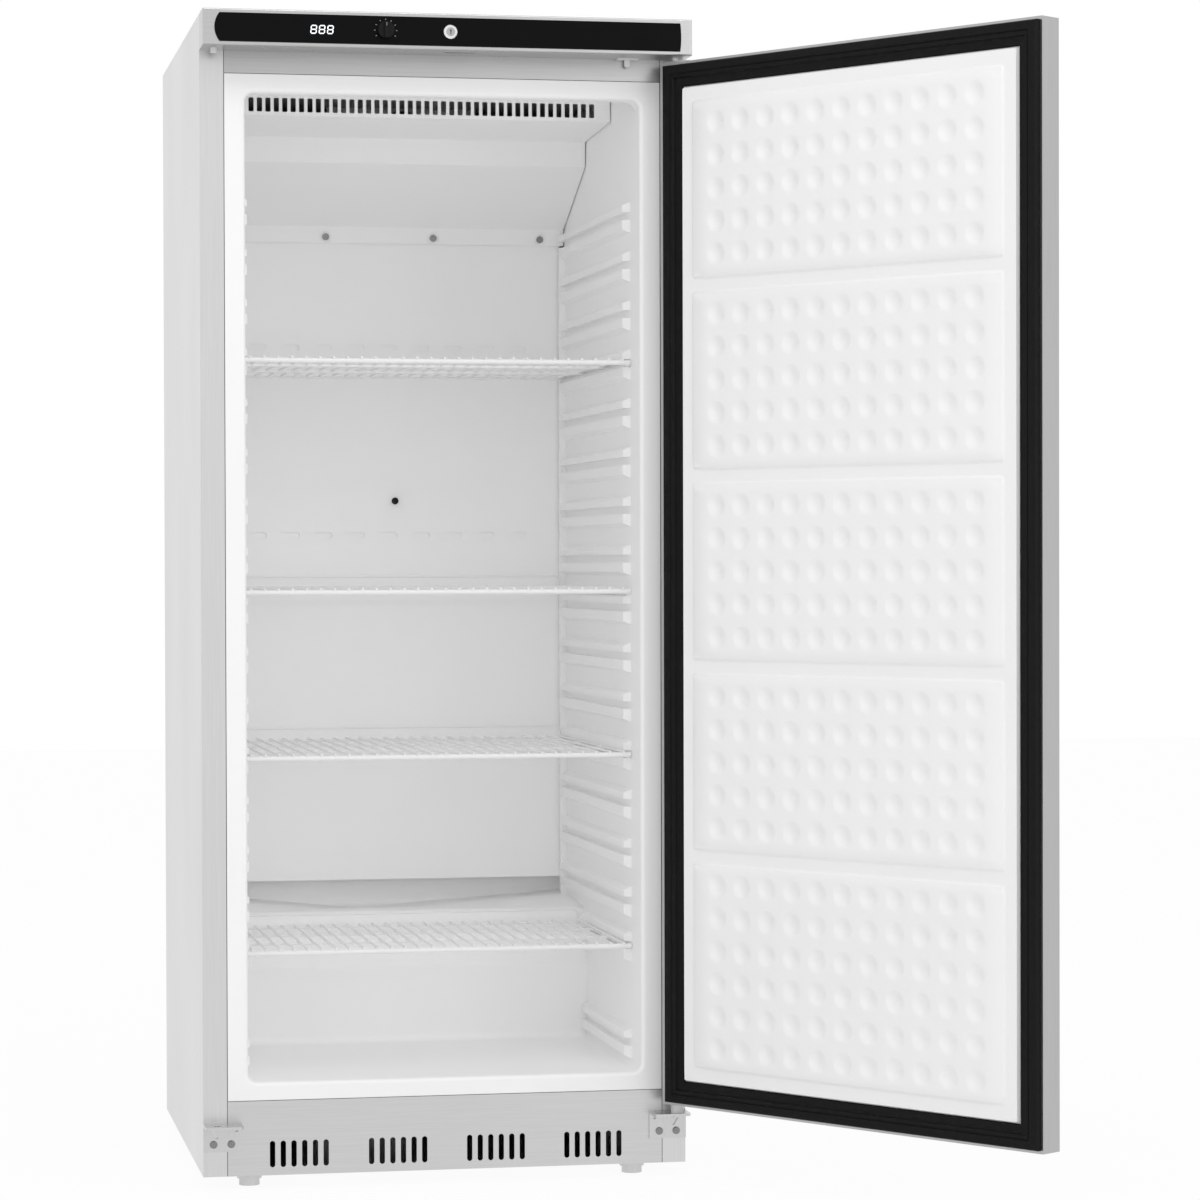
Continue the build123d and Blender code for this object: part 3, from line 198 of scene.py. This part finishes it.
def rough_range(tree, shader, source, low, high):
    """The shader's roughness carried from low to high by a noise."""
    tree.links.new(spread(tree, source, low, high), shader.inputs["Roughness"])


def two_tone(tree, shader, source, dark, light):
    """The shader's colour carried between two tones by a noise."""
    mix = tree.nodes.new("ShaderNodeMix")
    mix.data_type = "RGBA"
    mix.inputs["A"].default_value = (*dark, 1.0)
    mix.inputs["B"].default_value = (*light, 1.0)
    tree.links.new(spread(tree, source, 0.0, 1.0), mix.inputs["Factor"])
    tree.links.new(mix.outputs["Result"], shader.inputs["Base Color"])


def relief(tree, shader, source, strength, distance):
    """A bump on the shader from a value."""
    bump = tree.nodes.new("ShaderNodeBump")
    bump.inputs["Strength"].default_value = strength
    bump.inputs["Distance"].default_value = distance
    tree.links.new(source, bump.inputs["Height"])
    tree.links.new(bump.outputs["Normal"], shader.inputs["Normal"])


def brushed(name, stretch, dark, light, rough):
    """Satin steel between two greys, its grain drawn out along one direction."""
    material, tree, shader = finish(name, (light, light, light), rough, metallic=1.0)
    lines = grain(tree, 900.0, stretch, detail=2.0)
    clouds = grain(tree, 3.0, (1.0, 1.0, 0.5))
    two_tone(tree, shader, lines, (dark, dark, dark), (light, light, light))
    rough_range(tree, shader, clouds, rough - 0.03, rough + 0.04)
    relief(tree, shader, lines, 0.05, 0.0004)
    return material


def paint(material, *names):
    """Gives CAD nodes one material."""
    for name in names:
        mesh = nodes[name].data
        mesh.materials.clear()
        mesh.materials.append(material)


upright_grain = (1.0, 1.0, 0.012)
level_grain = (0.012, 1.0, 1.0)
steel_upright = brushed("satin_steel_upright", upright_grain, 0.63, 0.67, 0.30)
steel_level = brushed("satin_steel_level", level_grain, 0.58, 0.62, 0.30)
steel_canopy = brushed("satin_steel_canopy", level_grain, 0.49, 0.53, 0.28)
# The top rail's copy of the steel is darker than the others: painted shade from the canopy
# overhanging it.
steel_rail_in_shade = brushed("satin_steel_rail_painted_shade", level_grain, 0.46, 0.50, 0.32)
steel_door = brushed("satin_steel_door", upright_grain, 0.46, 0.50, 0.32)
paint(steel_upright, "side_panel_left", "side_panel_right")
paint(steel_level, "kick_panel")
paint(steel_canopy, "canopy")
paint(steel_rail_in_shade, "top_panel")
paint(steel_door, "door_outer_skin")

# Plain zinc-coated sheets and hardware
# The sheets out of sight from the front, and the hinge brackets, the pins, the lock's cam and the
# feet.

zinc, tree, shader = finish("zinc_sheet", (0.55, 0.56, 0.57), 0.45, metallic=1.0)
flake = grain(tree, 90.0, detail=2.0)
two_tone(tree, shader, flake, (0.50, 0.51, 0.52), (0.57, 0.58, 0.59))
rough_range(tree, shader, flake, 0.38, 0.46)
paint(
    zinc,
    "rear_panel",
    "machine_bay_roof",
    "base_tray",
    "rear_grille",
    "evaporator_fan_plate",
    "condenser_fan_shroud",
    "upper_hinge_plate",
)
hinge_steel, tree, shader = finish("hinge_steel", (0.60, 0.60, 0.60), 0.30, metallic=1.0)
scuff = grain(tree, 180.0, (1.0, 1.0, 0.2))
rough_range(tree, shader, scuff, 0.24, 0.36)
relief(tree, shader, scuff, 0.05, 0.0005)
paint(
    hinge_steel,
    "lower_hinge_bracket",
    "spare_hinge_bracket",
    "lower_hinge_pin",
    "upper_hinge_pin",
    "lock_cam",
    "foot_front_left",
    "foot_front_right",
    "foot_rear_left",
    "foot_rear_right",
)

# Foam
# The insulation behind the liner and in the door, cream coloured with fine cells.

foam, tree, shader = finish("cream_foam", (0.80, 0.70, 0.45), 0.9)
cells = grain(tree, 420.0)
relief(tree, shader, cells, 0.5, 0.001)
paint(foam, "cabinet_foam", "door_foam")

# Liner
# One white plastic shell drawn over a mould, with the shelf ladders in its side walls.


def moulded(name, grey, rough):
    """A white moulded or coated skin with a fine orange peel."""
    material, tree, shader = finish(name, (grey, grey, grey), rough)
    peel = grain(tree, 260.0, detail=2.0)
    clouds = grain(tree, 4.0)
    lighter = min(0.95, grey * 1.02)
    two_tone(tree, shader, clouds, (grey, grey, grey), (lighter, lighter, lighter))
    rough_range(tree, shader, peel, rough - 0.04, rough + 0.06)
    relief(tree, shader, peel, 0.06, 0.0006)
    return material


white_liner = moulded("white_liner", 0.935, 0.42)
paint(white_liner, "inner_liner")

# Seam beads
# A thin dark bead round the liner's frame and along the folded seams above and below it is painted
# shade: it stands in for the shadow line in the joints.


def solid_piece(name, corners, faces, body, material):
    """A closed mesh on a body with one material, normals out, smooth but for folds over 32
    degrees.
    """
    mesh = bpy.data.meshes.new(name)
    mesh.from_pydata(corners, [], faces)
    work = bmesh.new()
    work.from_mesh(mesh)
    bmesh.ops.recalc_face_normals(work, faces=work.faces)
    for edge in work.edges:
        edge.smooth = len(edge.link_faces) == 2 and edge.calc_face_angle(0.0) < radians(32)
    for face in work.faces:
        face.smooth = True
    work.to_mesh(mesh)
    work.free()
    mesh.materials.append(material)
    piece = bpy.data.objects.new(name, mesh)
    scene.collection.objects.link(piece)
    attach(piece, body)


def ring_faces(count, around, closed):
    """Quads between count rows, each a loop of around corners; closed joins last to first."""
    rows = np.arange(count if closed else count - 1)
    spots = np.arange(around)
    a = (rows[:, None] * around + spots[None, :]).ravel()
    b = (rows[:, None] * around + (spots[None, :] + 1) % around).ravel()
    c = ((rows[:, None] + 1) % count * around + (spots[None, :] + 1) % around).ravel()
    d = ((rows[:, None] + 1) % count * around + spots[None, :]).ravel()
    return np.stack((a, b, c, d), axis=1).tolist()


def capped_faces(count, around):
    """Quads between count rows, each a loop of around corners, and a face on both end rows."""
    last = (count - 1) * around
    ends = [list(range(around)), list(range(last, last + around))]
    return ring_faces(count, around, False) + ends


def mitred_frame(profile, x0, x1, z0, z1):
    """A profile of (inset, depth) carried round a rectangle, each point a smaller rectangle.

    A negative inset moves only the hinge side, x1, outwards.
    """
    inset, depth = np.array(profile).T
    inside = np.maximum(inset, 0.0)
    right = x1 - inside - np.minimum(inset, 0.0)
    left = x0 + inside
    corner_x = np.stack((left, right, right, left), axis=1)
    corner_z = np.stack((z0 + inside, z0 + inside, z1 - inside, z1 - inside), axis=1)
    corner_y = np.repeat(depth[:, None], 4, axis=1)
    return np.stack((corner_x, corner_y, corner_z), axis=2).reshape(-1, 3)


front = -0.385
seam_place, seam_gap = 0.3516, 0.001
frame_low, frame_high = 0.141, 1.768
kick_low, rail_top = 0.0225, 1.803
# The bead's near-black colour is painted shade for the shadow in the joints.
seam_shade_finish, tree, shader = finish("painted_seam_shade", (0.05, 0.05, 0.05), 0.6)
rough_range(tree, shader, grain(tree, 80.0), 0.5, 0.7)
bead = [(0.0, 0.0008), (0.0002, 0.0), (0.0007, -0.0001), (0.0012, 0.0), (0.0014, 0.0008)]
bead = [(inset, front + depth) for inset, depth in bead]
bead_half, frame_margin = 0.0007, 0.0004
across = seam_place + frame_margin
loop = mitred_frame(bead, -across, across, frame_low - bead_half, frame_high + bead_half)
loop_faces = ring_faces(len(bead), 4, True)
solid_piece("frame_bead", loop.tolist(), loop_faces, "cabinet", seam_shade_finish)


def seam_strip(name, x, z0, z1):
    """A bead straight up a seam: its profile at two heights, closed at both ends."""
    inset, depth = np.array(bead).T
    x = x - bead_half + inset
    rows = [np.stack((x, depth, np.full(len(bead), z)), axis=1) for z in (z0, z1)]
    corners = np.concatenate(rows).tolist()
    solid_piece(name, corners, capped_faces(2, len(bead)), "cabinet", seam_shade_finish)


for word, place in (("left", -seam_place), ("right", seam_place)):
    seam_strip("rail_seam_" + word, place, frame_high + seam_gap, rail_top)
    seam_strip("kick_seam_" + word, place, kick_low, frame_low - seam_gap)

# Painted sheets inside
# The evaporator housing and the air panel are folded steel with a white powder coat. The screws
# in the housing and in the hinge brackets are dark.

white_coat = moulded("white_powder_coat", 0.94, 0.48)
paint(white_coat, "evaporator_cover", "air_panel")
dark_screw, tree, shader = finish("dark_screw", (0.26, 0.26, 0.265), 0.4, metallic=1.0)
rough_range(tree, shader, grain(tree, 400.0), 0.3, 0.5)
paint(dark_screw, "evaporator_cover_screws", "bracket_screws")

# Air baffles
# A white channel behind each row of the air panel's slots spreads the cold air along the row.

panel_back = front + 0.689
baffle_half_width, baffle_half_height = 0.262, 0.014
baffle_lip, baffle_thickness = 0.001, 0.0012


def baffle(name, height, stations=9):
    """A shallow channel behind a slot row: a side view of (height, depth) carried sideways."""
    low = height - baffle_half_height
    side = [(0.0, 0.0), (0.004, 0.0003), (0.014, 0.0007), (0.024, 0.0003), (0.028, 0.0)]
    for rise, depth in side[::-1]:
        lip = baffle_lip if rise > baffle_half_height else -baffle_lip
        side.append((rise + lip, depth + baffle_thickness))
    rise, depth = np.array(side).T
    rows = [
        np.stack((np.full(len(side), x), panel_back + depth, low + rise), axis=1)
        for x in np.linspace(-baffle_half_width, baffle_half_width, stations)
    ]
    faces = capped_faces(stations, len(side))
    solid_piece(name, np.concatenate(rows).tolist(), faces, "cabinet", white_coat)


baffle("air_baffle_low", 1.043)
baffle("air_baffle_high", 1.375)

# Shelves
# Steel wire, welded and dipped in a thick glossy white coat.

shelf_coat, tree, shader = finish("white_dip_coat", (0.86, 0.86, 0.86), 0.32)
runs = grain(tree, 150.0)
rough_range(tree, shader, runs, 0.26, 0.42)
relief(tree, shader, runs, 0.12, 0.001)
paint(shelf_coat, "shelf_1", "shelf_2", "shelf_3", "shelf_4")

# Controls
# A gloss black strip with the display, a plated lock, and two plastics that other parts share:
# black for the knob, grip, tray, inlet and fans, white for the switch, washer, bushes and plug.

gloss_black, tree, shader = finish(
    "gloss_black_strip", (0.004, 0.004, 0.0045), 0.16, Specular_IOR_Level=0.06
)
smear = grain(tree, 30.0)
rough_range(tree, shader, smear, 0.12, 0.24)
paint(gloss_black, "control_overlay", "display_module")
black_plastic, tree, shader = finish(
    "black_plastic", (0.008, 0.008, 0.009), 0.45, Specular_IOR_Level=0.12
)
peel = grain(tree, 500.0)
relief(tree, shader, peel, 0.08, 0.0004)
paint(
    black_plastic,
    "thermostat_knob",
    "thermostat_body",
    "door_hand_grip",
    "evaporation_tray",
    "power_inlet",
    "condenser_fan",
    "evaporator_fan",
)
plated, tree, shader = finish("plated_lock", (0.80, 0.80, 0.80), 0.18, metallic=1.0)
scuff = grain(tree, 300.0)
rough_range(tree, shader, scuff, 0.14, 0.26)
paint(plated, "lock_barrel")
# The lock's plug is darker than the plated barrel: painted shade standing in for the dark keyway.
keyway_shade_plug, tree, shader = finish("keyway_shade_plug", (0.40, 0.40, 0.40), 0.30, metallic=1.0)
rough_range(tree, shader, grain(tree, 500.0, (1.0, 1.0, 0.1)), 0.26, 0.46)
paint(keyway_shade_plug, "lock_plug")
white_nylon, tree, shader = finish("white_nylon", (0.78, 0.78, 0.76), 0.45)
peel = grain(tree, 700.0)
relief(tree, shader, peel, 0.05, 0.0004)
paint(
    white_nylon,
    "door_switch_housing",
    "door_switch_lever",
    "spare_hinge_plug",
    "hinge_washer",
    "door_hinge_bushes",
)

# Display digits
# Three glowing figures of seven bars each behind the strip's window, all bars lit.

glow_white, tree, shader = finish("lit_digit", (0.92, 0.94, 0.95), 0.4)
shader.inputs["Emission Color"].default_value = (0.92, 0.95, 1.0, 1.0)
shader.inputs["Emission Strength"].default_value = 0.55
rough_range(tree, shader, grain(tree, 900.0), 0.34, 0.5)
strip_face, print_sink = front - 0.0715, 0.0001
control_height = 1.831
digits_x, digits_z = -0.2035, control_height - 0.001
digit_width, digit_height, digit_pitch = 0.0083, 0.0122, 0.0131
bar_width, bar_thickness, bar_gap, digit_lean = 0.0017, 0.0003, 0.0003, 0.10


def flat_block(outline, back, face):
    """The corners of a flat block: an outline of (x, z) at two depths."""
    x, z = np.array(outline).T
    return np.concatenate([np.stack((x, np.full(len(x), y), z), axis=1) for y in (back, face)])


def block_piece(name, blocks, body, material):
    """One piece of separate flat blocks."""
    corners, faces = [], []
    for block in blocks:
        start = len(corners)
        faces += [[start + i for i in face] for face in capped_faces(2, len(block) // 2)]
        corners += block.tolist()
    solid_piece(name, corners, faces, body, material)


def lit_bar(x0, z0, x1, z1):
    """A bar between two places: six-cornered, pointed at both ends, leaning like italic print."""
    low, high = np.array((x0, z0)), np.array((x1, z1))
    along = (high - low) / np.linalg.norm(high - low)
    beside = np.array((-along[1], along[0])) * bar_width / 2
    tip = along * bar_width / 2
    outline = [low, low + tip + beside, high - tip + beside]
    outline += [high, high - tip - beside, low + tip - beside]
    outline = np.array(outline)
    outline[:, 0] += outline[:, 1] * digit_lean
    return flat_block(outline, strip_face + print_sink, strip_face - bar_thickness)


half_x, half_z = digit_width / 2, digit_height / 2
bars = [(-half_x + bar_gap, z, half_x - bar_gap, z) for z in (half_z, 0.0, -half_z)]
for x in (-half_x, half_x):
    bars += [(x, z + bar_gap, x, z + half_z - bar_gap) for z in (0.0, -half_z)]
blocks = [
    lit_bar(*bar) + np.array((digits_x + place * digit_pitch, 0.0, digits_z))
    for place in (-1, 0, 1)
    for bar in bars
]
block_piece("display_digits", blocks, "cabinet", glow_white)

# Dial marks
# A fan of pale marks printed on the strip round the knob, and a raised pale line on its grip.

print_white, tree, shader = finish("pale_print", (0.26, 0.26, 0.26), 0.5)
rough_range(tree, shader, grain(tree, 800.0), 0.42, 0.6)
knob_place = -0.103


def mark(angle, inner, outer, width, back, face):
    """A short radial bar about the knob's middle, at an angle from straight up."""
    along = np.array((sin(angle), cos(angle)))
    beside = np.array((along[1], -along[0])) * width / 2
    near, away = along * inner, along * outer
    outline = [near - beside, away - beside, away + beside, near + beside]
    return flat_block(outline, back, face) + np.array((knob_place, 0.0, control_height))


mark_inner, mark_outer, mark_width, mark_rise = 0.0162, 0.0184, 0.0012, 0.0002
mark_depths = (strip_face + print_sink, strip_face - mark_rise)
dial_angles = [radians(a) for a in range(-120, 121, 30)]
blocks = [mark(a, mark_inner, mark_outer, mark_width, *mark_depths) for a in dial_angles]
block_piece("dial_marks", blocks, "cabinet", print_white)
knob_tip = front - 0.085
line_inner, line_outer, line_width = 0.006, 0.0112, 0.0010
line_sink, line_rise = 0.0002, 0.0003
line = mark(0.0, line_inner, line_outer, line_width, knob_tip + line_sink, knob_tip - line_rise)
block_piece("knob_line", [line], "knob", print_white)

# Door liner
# A white plastic sheet drawn over a mould: a flat border, a raised field and five soft panels of
# round hollows.

door_hinge = (0.370, -0.417)
door_angle = radians(125)


def swung(places):
    """Places given for the closed door, turned about the hinge to where the door stands."""
    places = np.asarray(places, dtype=float)
    x, y = places[:, 0] - door_hinge[0], places[:, 1] - door_hinge[1]
    turned_x = door_hinge[0] + x * cos(door_angle) - y * sin(door_angle)
    turned_y = door_hinge[1] + x * sin(door_angle) + y * cos(door_angle)
    return np.stack((turned_x, turned_y, places[:, 2]), axis=1)


def depth_inside(x, z, x0, x1, z0, z1, radius):
    """How far a point lies inside a rectangle with round corners; negative outside."""
    across = np.abs(x - (x0 + x1) / 2) - (x1 - x0) / 2 + radius
    along = np.abs(z - (z0 + z1) / 2) - (z1 - z0) / 2 + radius
    beyond = np.hypot(np.maximum(across, 0.0), np.maximum(along, 0.0))
    return radius - beyond - np.minimum(np.maximum(across, along), 0.0)


def ease(t):
    """A smooth step: 3 t^2 - 2 t^3 between 0 and 1."""
    t = np.clip(t, 0.0, 1.0)
    return t * t * (3.0 - 2.0 * t)


def grid_lines(low, high, edges, middles):
    """Grid lines: both ends, seven across every moulded edge and fourteen across every hollow."""
    edge_step, least_gap = 0.0015, 0.0006
    offsets = np.array((0.0015, 0.005, 0.009, 0.0125, 0.0155, 0.0177, 0.0195))
    lines = [low, high]
    for edge in edges:
        lines += list(edge + np.arange(-3, 4) * edge_step)
    for middle in middles:
        lines += list(middle + offsets) + list(middle - offsets)
    lines = np.unique(np.round(np.clip(lines, low, high), 5))
    return lines[np.concatenate(([True], np.diff(lines) > least_gap))]


sheet_side, sheet_bottom, sheet_top = 0.3675, 0.1385, 1.7765
sheet_back, sheet_under = -0.012, -0.0155
field_left, field_right, field_low, field_high = -0.344, 0.332, 0.163, 1.752
field_rise, field_shoulder, field_corner = 0.007, 0.003, 0.006
panel_border, panel_pitch, panel_gap = 0.024, 0.303, 0.018
panel_left, panel_right = field_left + panel_border, field_right - panel_border
panel_rise, panel_shoulder, panel_corner = 0.0035, 0.0045, 0.009
hollow_depth, hollow_radius, hollow_pitch, hollow_columns = 0.0045, 0.0188, 0.052, 11
bowl_power = 1.4
pocket_back, pocket_inset = -0.0085, 0.0025
middle_x = (field_left + field_right) / 2
hollow_rows = (5, 5, 5, 5, 6)
panels = []
high = field_high - panel_border
for count in hollow_rows[:-1]:
    panels.append((high - panel_pitch + panel_gap, high, count))
    high -= panel_pitch
panels.append((field_low + panel_border, high, hollow_rows[-1]))


def hollow_middles(middle, count):
    """The middles of count hollows in a row about a middle."""
    return [middle + (i - (count - 1) / 2) * hollow_pitch for i in range(count)]


def off_hollow(place, middle, count):
    """How far a place is, along one axis, from the nearest of count hollows about a middle."""
    nearest = np.clip(np.round((place - middle) / hollow_pitch + (count - 1) / 2), 0, count - 1)
    return place - middle - (nearest - (count - 1) / 2) * hollow_pitch


def liner_height(x, z):
    """A raised field plus panels, with soft shoulders, less a bowl (1 - r^2)^1.4 per hollow."""
    inside = depth_inside(x, z, field_left, field_right, field_low, field_high, field_corner)
    height = field_rise * ease(inside / field_shoulder)
    for low, top, count in panels:
        inside = depth_inside(x, z, panel_left, panel_right, low, top, panel_corner)
        height = height + panel_rise * ease(inside / panel_shoulder)
        off_x = off_hollow(x, middle_x, hollow_columns)
        off_z = off_hollow(z, (low + top) / 2, count)
        bowl = np.clip(1.0 - (off_x**2 + off_z**2) / hollow_radius**2, 0.0, 1.0) ** bowl_power
        height = height - hollow_depth * np.where(inside > 0, bowl, 0.0)
    return height


panel_edges = [edge for low, top, count in panels for edge in (low, top)]
sides = (field_left, field_right, panel_left, panel_right)
hollow_z = [z for low, top, count in panels for z in hollow_middles((low + top) / 2, count)]
lines_x = grid_lines(-sheet_side, sheet_side, sides, hollow_middles(middle_x, hollow_columns))
lines_z = grid_lines(sheet_bottom, sheet_top, [field_low, field_high] + panel_edges, hollow_z)
columns, rows = len(lines_x), len(lines_z)
grid_x, grid_z = np.meshgrid(lines_x, lines_z)
grid_y = front + sheet_back + liner_height(grid_x, grid_z)
face_grid = np.stack((grid_x, grid_y, grid_z), axis=2).reshape(-1, 3)
quads_i, quads_j = np.meshgrid(np.arange(columns - 1), np.arange(rows - 1))
first = (quads_j * columns + quads_i).ravel()
quads = np.stack((first, first + columns, first + columns + 1, first + 1), axis=1).tolist()
bottom_row = np.arange(columns)
right_side = np.arange(1, rows) * columns + columns - 1
top_row = (rows - 1) * columns + np.arange(columns - 2, -1, -1)
left_side = np.arange(rows - 2, 0, -1) * columns
rim = np.concatenate((bottom_row, right_side, top_row, left_side))


def under_ring(x0, x1, z0, z1, depth):
    """The rim's corners moved evenly onto a rectangle at a depth."""
    ring = face_grid[rim].copy()
    ring[:, 0] = np.interp(ring[:, 0], (-sheet_side, sheet_side), (x0, x1))
    ring[:, 1] = front + depth
    ring[:, 2] = np.interp(ring[:, 2], (sheet_bottom, sheet_top), (z0, z1))
    return ring


pocket = (
    field_left + pocket_inset,
    field_right - pocket_inset,
    field_low + pocket_inset,
    field_high - pocket_inset,
)
under = [
    under_ring(-sheet_side, sheet_side, sheet_bottom, sheet_top, sheet_under),
    under_ring(*pocket, sheet_under),
    under_ring(*pocket, pocket_back),
]
total = len(face_grid)
around = np.arange(len(rim))
after = (around + 1) % len(rim)
skirts = [np.stack((rim, total + around, total + after, rim[after]), axis=1)]
for start in (total, total + len(rim)):
    below = start + len(rim)
    skirt = (start + around, below + around, below + after, start + after)
    skirts.append(np.stack(skirt, axis=1))
solid_piece(
    "dimpled_door_liner",
    swung(np.concatenate([face_grid] + under)).tolist(),
    quads + np.concatenate(skirts).tolist() + [(total + 2 * len(rim) + around).tolist()],
    "door",
    white_liner,
)
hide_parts("door_inner_liner")

# Gasket
# A black magnetic seal clipped round the door's back: a wide hollow crown, a groove and a low lip
# on the liner.

gasket_rubber, tree, shader = finish(
    "gasket_rubber", (0.006, 0.006, 0.006), 0.5, Specular_IOR_Level=0.12
)
bloom = grain(tree, 90.0)
rough_range(tree, shader, bloom, 0.42, 0.6)
relief(tree, shader, grain(tree, 600.0), 0.05, 0.0003)
paint(gasket_rubber, "compressor_grommets")
seal = [(-0.006, 0.0), (-0.006, 0.005), (-0.0045, 0.0064), (0.0, 0.007), (0.0006, 0.0095)]
seal += [(0.0018, 0.0111), (0.004, 0.0117), (0.0125, 0.0117), (0.0138, 0.0112), (0.0146, 0.0098)]
seal += [(0.0154, 0.0096), (0.0162, 0.0106), (0.0185, 0.0110), (0.0208, 0.0106), (0.0222, 0.0088)]
seal += [(0.0228, 0.0058), (0.0245, 0.0050), (0.0300, 0.0046), (0.0340, 0.0040), (0.0358, 0.0022)]
seal += [(0.0360, 0.0)]
seal_left, seal_right, seal_low, seal_high = -0.380, 0.368, 0.127, 1.788
profile = [(inset, front + sheet_back + rise) for inset, rise in seal]
seal_places = mitred_frame(profile, seal_left, seal_right, seal_low, seal_high)
solid_piece(
    "door_seal",
    swung(seal_places).tolist(),
    ring_faces(len(seal), 4, True),
    "door",
    gasket_rubber,
)
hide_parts("door_gasket")

# Corner cap
# A grey plastic cap on the door's top corner lies round the hinge bush and covers the pan's cut
# edges.

cap_grey, tree, shader = finish("grey_cap", (0.50, 0.50, 0.50), 0.42)
relief(tree, shader, grain(tree, 500.0), 0.06, 0.0003)
angles = np.linspace(0.0, 2 * pi, 64, endpoint=False)
cap_shift, cap_bore = 0.013, 0.0125
cap_middle = (door_hinge[0] - cap_shift, door_hinge[1])
cap_reach = (0.026, 0.0195)
cap_low, cap_high = 1.7928, 1.7962
cap_edge = [(0.0, 0.0012), (0.0008, 0.0003), (0.002, 0.0)]


def cap_outline(inset, height):
    """A squarish oval |x|^5 + |y|^5 = 1 about the cap's middle, at a height."""
    size = (np.abs(np.cos(angles)) ** 5 + np.abs(np.sin(angles)) ** 5) ** -0.2
    x = cap_middle[0] + (cap_reach[0] - inset) * size * np.cos(angles)
    y = cap_middle[1] + (cap_reach[1] - inset) * size * np.sin(angles)
    return np.stack((x, y, np.full(len(angles), height)), axis=1)


def cap_hole(height):
    """The round hole for the hinge bush, at a height."""
    x, y = door_hinge[0] + cap_bore * np.cos(angles), door_hinge[1] + cap_bore * np.sin(angles)
    return np.stack((x, y, np.full(len(angles), height)), axis=1)


cap_rows = [cap_outline(0.0, cap_low)]
cap_rows += [cap_outline(inset, cap_high - drop) for inset, drop in cap_edge]
cap_rows += [cap_hole(cap_high), cap_hole(cap_low)]
solid_piece(
    "corner_cap",
    swung(np.concatenate(cap_rows)).tolist(),
    ring_faces(len(cap_rows), len(angles), True),
    "door",
    cap_grey,
)

# Cooling parts
# Black-coated cold fins, whose black is also painted shade for the dark seen through the housing's
# slots, bare aluminium warm fins, a copper pipe, a grey drain tube, and black paint on the
# compressor and the fans' motors.

bare_aluminium, tree, shader = finish("bare_aluminium", (0.75, 0.76, 0.77), 0.4, metallic=1.0)
rough_range(tree, shader, grain(tree, 200.0), 0.3, 0.5)
paint(bare_aluminium, "condenser_coil")
coated_fins_and_slot_shade, tree, shader = finish(
    "black_fins_and_slot_shade", (0.012, 0.012, 0.013), 0.5, Specular_IOR_Level=0.2
)
relief(tree, shader, grain(tree, 200.0), 0.1, 0.0005)
paint(coated_fins_and_slot_shade, "evaporator_coil")
copper, tree, shader = finish("bare_copper", (0.72, 0.38, 0.24), 0.35, metallic=1.0)
rough_range(tree, shader, grain(tree, 120.0), 0.28, 0.5)
paint(copper, "suction_line")
paint(black_plastic, "temperature_probe")
grey_tube, tree, shader = finish("grey_tube", (0.35, 0.36, 0.37), 0.5)
relief(tree, shader, grain(tree, 300.0), 0.05, 0.0004)
paint(grey_tube, "drain_tube")
black_paint, tree, shader = finish("black_paint", (0.02, 0.02, 0.02), 0.38)
relief(tree, shader, grain(tree, 220.0), 0.1, 0.0006)
paint(black_paint, "compressor", "evaporator_fan_motor", "condenser_fan_motor")
